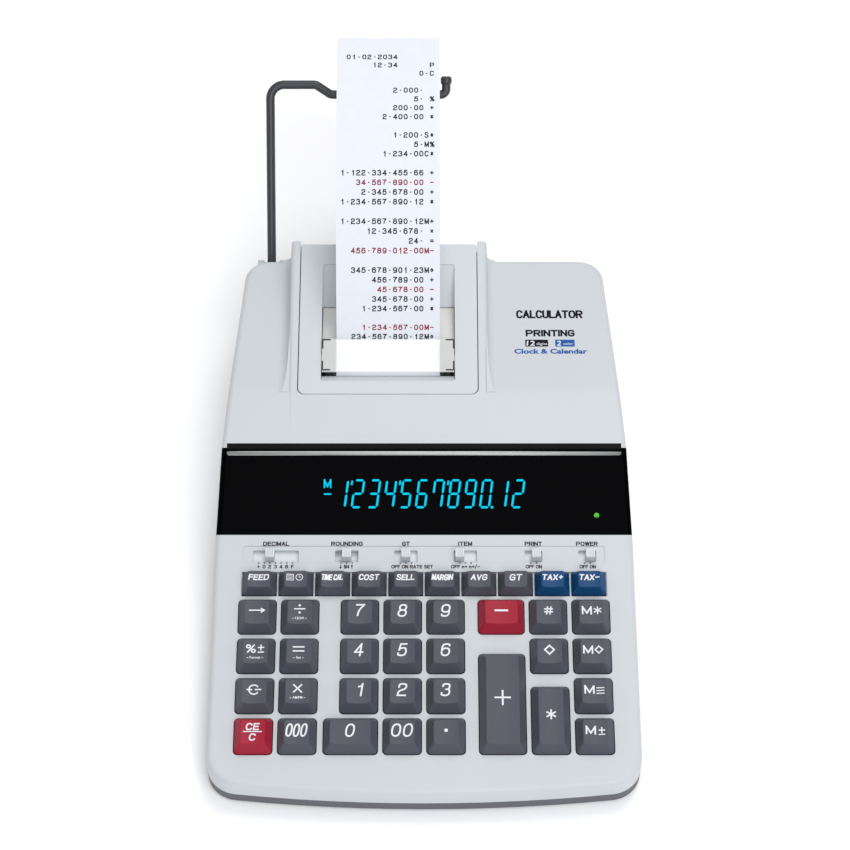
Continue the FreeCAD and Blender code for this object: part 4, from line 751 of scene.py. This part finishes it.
pillow = panel.at(trim_x, trim_u + across * TRIM_W / 2 * end_fall, TRIM_T * (1 - across ** 4) * end_fall)
trim = piece("trim_strip", pillow, grid_faces(TRIM_ROWS, FACE_COLUMNS, False), foil, "case", smooth=True)
print("trim strip length mm:", round(2 * TRIM_HALF / MM, 1))

# %% [markdown]
# ## The black border
# Behind the trim strip the window's black border runs on up to the case. It could be a flat plate,
# but the window and the case meet there at an angle. So a grid of rays reads the highest surface
# under each place, and the border is a skin that lies on it.

# %% Black border above the display
BORDER_W, BORDER_LAP, TRIM_GAP = 2.3 * MM, 0.6 * MM, 0.3 * MM
BORDER_ROWS, BORDER_COLUMNS = 9, 15
WIDEST = np.linspace(95, 114, 77) * MM   # half widths that are tried
STEP_DOWN = 3.0 * MM                     # past the side of the case the surface falls by more
border_front = panel.at(0, trim_u + TRIM_W / 2 + TRIM_GAP, 0)[1]
border_y = border_front + np.linspace(0.0, BORDER_W + BORDER_LAP, BORDER_ROWS)
under = (tree_of("top_shell"), tree_of("display_window"))


def top_of(x, y):
    """The highest surface of shell and window over a place; nothing there counts as the table."""
    hits = [tree.ray_cast(Vector((x, y, SKY)), DOWN)[0] for tree in under]
    return max([hit.z for hit in hits if hit], default=0.0)


middle_z = top_of(0, border_y[-1])
border_half = max(x for x in WIDEST if top_of(x, border_y[-1]) > middle_z - STEP_DOWN)
border_x = np.sin(np.linspace(-math.pi / 2, math.pi / 2, BORDER_COLUMNS)) * border_half
border_z = np.array([[top_of(x, y) for x in border_x] for y in border_y]) + GLASS
border = np.stack([*np.meshgrid(border_x, border_y), border_z], -1)
border_ink = dress("black_border_ink", "08080A", "0C0C0E", 30, 1.0, 0.002, 0.5, **{"Specular IOR Level": 0.1})
border_faces = grid_faces(BORDER_ROWS, BORDER_COLUMNS, False)
piece("display_border", border, border_faces, border_ink, "case")
print("border half width mm:", round(border_half / MM, 2))

# %% [markdown]
# ## Labels on the case
# The switch labels and their position marks are pad printed in dark ink, a skin only some
# hundredths of a millimetre thick. The words are the plain functions of the switches. Dots stand
# over the marks at the switch's own positions, which are read from its joint.

# %% Switch labels
MATT = {"Specular IOR Level": 0.15}      # dried ink is powdery and hardly shines
ink = dress("dark_print_ink", "080A10", "0D0F15", 4, 0.8, 0.002, 0.6, **MATT)
blue_ink = dress("blue_print_ink", "1F55A0", "2459A4", 4, 0.8, 0.002, 0.6, **MATT)
PRINT = 0.03 * MM
slides = {j["child"]: j["range_m"] for j in frame["joints"] if j["type"] == "slide"}
# label, its width, the dots, the marks, their width and their shift to the right, in millimetres
LABELS = {
    "switch_decimal": ("DECIMAL", 14.1, 7, "+ 0 2 3 4 6 F", 0, 0),
    "switch_rounding": ("ROUNDING", 17.2, 3, "d 5/4 u", 0, 0),
    "switch_total": ("GT", 4.2, 3, "OFF ON RATE SET", 22.6, 3.4),
    "switch_item": ("ITEM", 7.6, 3, "OFF n+ n+/-", 15.6, 0),
    "switch_print": ("PRINT", 9.4, 2, "OFF ON", 8.8, 0),
    "switch_power": ("POWER", 11.8, 2, "OFF ON", 8.8, 0),
}
LABEL_PRINT, MARK_PRINT = (2.6, 0.56), (2.2, 0.46)      # cap height and pen, in millimetres
FRACTION_W = 3.0
DOT_R = 0.42 * MM
strip_u = deck.u_of(deck_rear)
DOT_U, MARK_U, LABEL_U = strip_u + 4.2 * MM, strip_u + 2.0 * MM, strip_u + 15.9 * MM
for switch, (label, label_w, count, marks, marks_w, marks_dx) in LABELS.items():
    low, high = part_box(switch)
    places = (low.x + high.x) / 2 + np.linspace(*slides[switch], count)
    row = [moved(lettering(label, *LABEL_PRINT, label_w), places.mean(), LABEL_U)]
    row += [moved(disc(DOT_R, 12), x, DOT_U) for x in places]
    if marks_w:
        row += [moved(lettering(marks, *MARK_PRINT, marks_w), places.mean() + marks_dx * MM, MARK_U)]
    else:
        row += [moved(lettering(mark, *MARK_PRINT, FRACTION_W if len(mark) > 1 else None), x, MARK_U)
                for x, mark in zip(places, marks.split())]
    flat, faces = joined(*row)
    label_piece = piece("label_" + switch[7:], deck.at(flat[:, 0], flat[:, 1], PRINT), faces, ink, "case")
    print(label, [round(float(x) / MM, 1) for x in places])

# %% [markdown]
# ## Words on the rear deck
# Two rows of plain dark words, two small chips and a blue line stand beside the cover. A chip is a
# printed rectangle with its word printed over it in pale ink, so the word lies one skin higher. The
# rows are set by their height above the cover's front edge, and the chips by their shift from the
# middle of the block.

# %% Words and badges on the rear deck
badge_u = rear_deck.u_of(cover_low.y)
WORD_UP, SECOND_UP, CHIP_UP, CHIP_WORD_UP, FEATURE_UP = (up * MM for up in (57.5, 43.6, 36.3, 35.9, 30.5))
CHIP_H, CHIP_R = 5.0 * MM, 0.4 * MM


def on_badge(shape, dx_mm, up):
    """A shape moved to its shift from the block's middle and its height above the cover's front edge."""
    return moved(shape, BADGE_X + dx_mm * MM, badge_u + up)


plain_word = on_badge(lettering("CALCULATOR", 5.9, 1.2, 37.6), -0.9, WORD_UP)
second_word = on_badge(lettering("PRINTING", 4.8, 1.1, 27.5), -0.9, SECOND_UP)
feature = on_badge(words("Clock & Calendar", 3.4, 40.8, 0, 0.035), -0.9, FEATURE_UP)
dark_badge = on_badge(plate(12.8 * MM, CHIP_H, CHIP_R), -8.6, CHIP_UP)
blue_badge = on_badge(plate(10.9 * MM, CHIP_H, CHIP_R), 7.2, CHIP_UP)
digits_word = joined(on_badge(words("12", 3.6, 4.6, 0.1, 0.02), -12.0, CHIP_UP),
                     on_badge(words("digits", 1.9, 6.0), -5.8, CHIP_WORD_UP))
colour_word = joined(on_badge(words("2", 3.6, 2.4, 0.1, 0.02), 3.8, CHIP_UP),
                     on_badge(words("color", 1.9, 5.4), 9.0, CHIP_WORD_UP))
pale_ink = dress("pale_print_ink", "DDE2E8", "E4E8EE", 4, 0.8, 0.002, 0.5)
for name, shape, tone, lift in (
        ("badge_words", joined(plain_word, second_word), ink, 1), ("badge_feature", feature, blue_ink, 1),
        ("badge_dark", dark_badge, ink, 1), ("badge_blue", blue_badge, blue_ink, 1),
        ("badge_dark_word", digits_word, pale_ink, 2), ("badge_blue_word", colour_word, pale_ink, 2)):
    points = rear_deck.at(shape[0][:, 0], shape[0][:, 1], lift * PRINT)
    piece(name, points, shape[1], tone, "case")
print("badges made")

# %% [markdown]
# ## The printed tape
# The printer stamps thin upright figures line by line, sums in black and take-aways in red. The
# free end of the tape is bent to an arc by its own curl. The arc is read from the CAD strip: its
# outer points fit a circle, and each line is laid on that circle at its own distance from the
# tear edge.

# %% Figures of the printer
CELL_W, CELL_H = 1.7 * MM, 2.6 * MM
CHAR_PITCH = 2.91 * MM
PEN_W = 0.6 * MM
CELL_UNITS = (4, LETTER_H)        # a cell's width and height on the alphabet's grid


def printed(text, right, along):
    """A line of print whose last cell ends at right: each run scaled to its cell and moved there."""
    shapes = []
    for i, character in enumerate(text[::-1]):
        corner = (right - CELL_W - i * CHAR_PITCH, along)
        for kind, *corners in ALPHABET.get(character, []):
            run = np.array(corners, float) if kind == LINE else rounded(corners, kind == RING, 2)
            scale = (CELL_W / CELL_UNITS[0], CELL_H / CELL_UNITS[1])
            shapes.append(band(kind, run * scale + corner, PEN_W))
    return shapes


# first the line nearest to the tear edge; a leading r prints in red, a comma is a raised point
TAPE_LINES = (
    "234,567,890,12Mo", "r1,234,567,00M-", "", "1,234,567,00 *", "345,678,00 +", "r45,678,00 -",
    "456,789,00 +", "345,678,901,23Mo", "", "r456,789,012,00M-", "24, =", "12,345,678, x",
    "1,234,567,890,12M+", "", "1,234,567,890,12 *", "2,345,678,00 +", "r34,567,890,00 -",
    "1,122,334,455,66 +", "", "1,234,00C*", "5,M%", "1,200,S*", "", "2,400,00 *", "200,00 +", "5, %",
    "2,000,  ", "", "0,C", "12,34      P", "01,02,2034       ",
)
print("lines on the tape:", len(TAPE_LINES))

# %% The arc of the tape
tape_node = nodes["paper_tape"].data
tape_points = np.array([v.co for v in tape_node.vertices])
cutter_low, cutter_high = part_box("tear_cutter")
FREE_FROM = 4 * MM                # the tape is free this far above the tear strip
centres = np.array([face.center for face in tape_node.polygons])
facing = np.array([face.normal for face in tape_node.polygons])
faces_up = (facing[:, 2] > 0.2) & (np.abs(facing[:, 0]) < 0.1)
outer = np.nonzero((centres[:, 2] > cutter_high.z + FREE_FROM) & faces_up)[0]
rim = tape_points[sorted({v for i in outer for v in tape_node.polygons[int(i)].vertices})][:, 1:]
solved = np.linalg.lstsq(np.column_stack([2 * rim, np.ones(len(rim))]), (rim ** 2).sum(1), rcond=None)[0]
arc_centre, arc_radius = solved[:2], math.sqrt(solved[2] + solved[0] ** 2 + solved[1] ** 2)
angles = np.arctan2(rim[:, 1] - arc_centre[1], rim[:, 0] - arc_centre[0])
arc_start, arc_end = angles.max(), angles.min()
arc_length = arc_radius * (arc_start - arc_end)
print("tape arc radius mm:", round(arc_radius / MM, 1), "length mm:", round(arc_length / MM, 1))


def on_tape(x, s, lift):
    """x across and s along: centre + (R + lift) (cos a, sin a), where a falls by s / R from the start."""
    angle = arc_start - s / arc_radius
    radius = arc_radius + lift
    y, z = arc_centre[0] + radius * np.cos(angle), arc_centre[1] + radius * np.sin(angle)
    return np.column_stack([x, y, z])


# %% Print the lines
LINE_PITCH = 5.4 * MM
FIRST_LINE = -5.3 * MM
PRINT_MARGIN = 3.6 * MM
tape_low, tape_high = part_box("paper_tape")
right_edge = tape_high.x - PRINT_MARGIN
black_print = dress("black_ribbon_ink", "0C0C14", "181820", 3, 0.7, 0.001, 0.7, **MATT)
red_print = dress("red_ribbon_ink", "861A30", "94243A", 3, 0.7, 0.001, 0.7, **MATT)
for name, tone, is_red in (("tape_print_black", black_print, False), ("tape_print_red", red_print, True)):
    shapes = [shape for i, text in enumerate(TAPE_LINES) if text.startswith("r") == is_red
              for shape in printed(text.lstrip("r"), right_edge, FIRST_LINE + i * LINE_PITCH)]
    flat, faces = joined(*shapes)
    piece(name, on_tape(flat[:, 0], flat[:, 1], PRINT), faces, tone, "case")
    print(name, "faces:", len(faces))

# %% [markdown]
# ## Behind the tape
# A pale strip under the tear edge guides the tape out of the mouth. It is a thin sheet on the
# mechanism's own guide. A sheet could be a flat plane with a Solidify modifier; here its under side
# is worked out from the line's own direction, so that it also serves the lip and the paper web.


# %% A bent sheet
def thick_sheet(name, line, x0, x1, thickness, material, body):
    """A closed sheet from x0 to x1 along a line of (y, z) points, grown downwards by its thickness."""
    line = np.array(line, float)
    way = np.gradient(line, axis=0)
    way /= np.linalg.norm(way, axis=1, keepdims=True)
    under = line + np.stack([way[:, 1], -way[:, 0]], 1) * thickness
    ring = np.concatenate([line, under[::-1]])
    points = np.stack([np.column_stack([np.full(len(ring), x), ring]) for x in (x1, x0)])
    count = len(ring)
    faces = grid_faces(2, count, True) + [tuple(range(count))[::-1], tuple(range(count, 2 * count))]
    return piece(name, points, faces, material, body)


mouth_x = (tape_low.x + tape_high.x) / 2
MOUTH_HALF = 36.9 * MM
mouth_left, mouth_right = mouth_x - MOUTH_HALF, mouth_x + MOUTH_HALF
print("mouth from", round(mouth_left / MM, 1), "to", round(mouth_right / MM, 1), "mm")

# %% Guide strip
GUIDE_T, GUIDE_LIFT, GUIDE_END = 0.25 * MM, 0.35 * MM, 3 * MM
GUIDE_FROM, GUIDE_TO = cutter_high.y + 4.5 * MM, cutter_high.y + 24 * MM
GUIDE_RUN = np.linspace(-2.0, 22.4, 6) * MM
guide_plastic = dress("cream_acetal", "D8D8D4", "E0E0DC", 20, 0.9, 0.01, 0.5, 1.48)
guide = Slope("printer_frame", mouth_left + GUIDE_END, GUIDE_FROM, GUIDE_TO)
guide_line = guide.at(0.0, GUIDE_RUN, GUIDE_LIFT)[:, 1:]
strip = thick_sheet("paper_guide", guide_line, mouth_left, mouth_right, GUIDE_T, guide_plastic, "case")
print("guide strip thickness mm:", GUIDE_T / MM)

# %% [markdown]
# ## The mouth's lip and the tear strip's fittings
# In front of the tear strip the cover's edge turns down into the mouth: a thin sloping lip. Beside
# the paper the clear strip's ends carry grey skins that paint the mechanism seen through them,
# darkened by painted shade. A dark clip sits at each corner. They could be carved into the strip,
# but as skins they keep its clear block whole. One clip is mirrored to all four corners, and its
# faces are turned round where a single mirror would turn them inside out.

# %% Mouth lip
LIP_BACK, LIP_DROP, LIP_T = 5.2 * MM, 2.4 * MM, 0.8 * MM
LIP_AHEAD, LIP_SINK = 5.55 * MM, 0.35 * MM
lip_front = lid.at(0.0, lid.u_of(cutter_low.y - LIP_AHEAD), -LIP_SINK)[1:]
lip_line = lip_front + np.linspace(0, 1, 5)[:, None] * (LIP_BACK, -LIP_DROP)
lip = thick_sheet("mouth_lip", lip_line, mouth_left, mouth_right, LIP_T, finishes["cover_plastic"], "cover")
print("lip drop mm:", LIP_DROP / MM)

# %% Grey ends with painted shade, and clips
CLIP_ARMS = [(0, -5.5), (0, 0), (-4.4, 0)]
CLIP_W, CLIP_INSET, STRIP_INSET = 0.9, 0.5 * MM, 0.9 * MM
END_SKIN, CLIP_SKIN = 0.03 * MM, 0.06 * MM
PAD_GAP, PAD_EXTRA, PAD_R = 0.4 * MM, 0.8 * MM, 0.3 * MM
STRIP_MARGIN = 5 * MM
cutter = Slope("tear_cutter", mouth_x, cutter_low.y + STRIP_MARGIN, cutter_high.y - STRIP_MARGIN)
half_u = (cutter.u_of(cutter_high.y) - cutter.u_of(cutter_low.y)) / 2 - STRIP_INSET
middle_u = (cutter.u_of(cutter_high.y) + cutter.u_of(cutter_low.y)) / 2
corner_clip, _ = strokes([CLIP_ARMS], CLIP_W)
plain_turn, mirrored_turn = [(0, 2, 3, 1), (2, 4, 5, 3)], [(1, 3, 2, 0), (3, 5, 4, 2)]
clips = [moved((corner_clip * (sx, sy), plain_turn if sx * sy > 0 else mirrored_turn),
               mouth_x + sx * (MOUTH_HALF - CLIP_INSET), middle_u + sy * half_u)
         for sx in (-1, 1) for sy in (-1, 1)]
flat, faces = joined(*clips)
# The ends' grey is partly the mechanism seen through the clear strip and partly painted shade.
end_grey = dress("mechanism_grey_with_painted_shade", "BFC0BD", "C8C9C6", 8, 1.2, 0.006, 0.5, 1.55)
pad_w = MOUTH_HALF - (tape_high.x - tape_low.x) / 2
pad = plate(pad_w - PAD_GAP, 2 * half_u + PAD_EXTRA, PAD_R)
pads = joined(*[moved(pad, mouth_x + side * (MOUTH_HALF - pad_w / 2), middle_u) for side in (-1, 1)])
for name, shape, skin, tone in (("cutter_ends", pads, END_SKIN, end_grey),
                                ("cutter_clips", (flat, faces), CLIP_SKIN, finishes["mechanism_plastic"])):
    points = cutter.at(shape[0][:, 0], shape[0][:, 1], skin)
    piece(name, points, shape[1], tone, "cover")
print("clips:", len(clips))

# %% [markdown]
# ## The paper web
# At the rear the paper comes off the roll to the slot in the case: a straight web, tangent to the
# roll. It could ride on the case or on the arm, but it would tear at its other end, so it is made
# on the case and then taken off it, and stays where it was made.

# %% Paper web from the roll to the inlet
ROLL_R = (roll_high.z - roll_low.z) / 2
WEB_T = 0.08 * MM
WEB_OVERLAP = (-0.3 * MM, 0.15 * MM)      # the web starts a little inside the inlet, on the tape
in_front_of_roll = tape_points[:, 1] < roll_low.y - 20 * MM
below_tear_strip = tape_points[:, 2] < cutter_low.z + 8 * MM
tape_rear = tape_points[in_front_of_roll & below_tear_strip]
inlet = tape_rear[tape_rear[:, 1].argmax()][1:] + WEB_OVERLAP
reach = np.array([roll_axis.y, roll_axis.z]) - inlet
distance = np.linalg.norm(reach)
heading = math.atan2(reach[1], reach[0]) - math.asin(ROLL_R / distance)
run_out = math.sqrt(distance ** 2 - ROLL_R ** 2)
steps = np.linspace(0, 1, 24)[:, None]
web_line = inlet + steps * run_out * (math.cos(heading), math.sin(heading))
web = thick_sheet("paper_web", web_line, tape_low.x, tape_high.x, WEB_T, finishes["roll_paper"], "case")
web.parent = None
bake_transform(web)
print("inlet at", [round(float(v) / MM, 1) for v in inlet], "web length mm:", round(run_out / MM, 1))
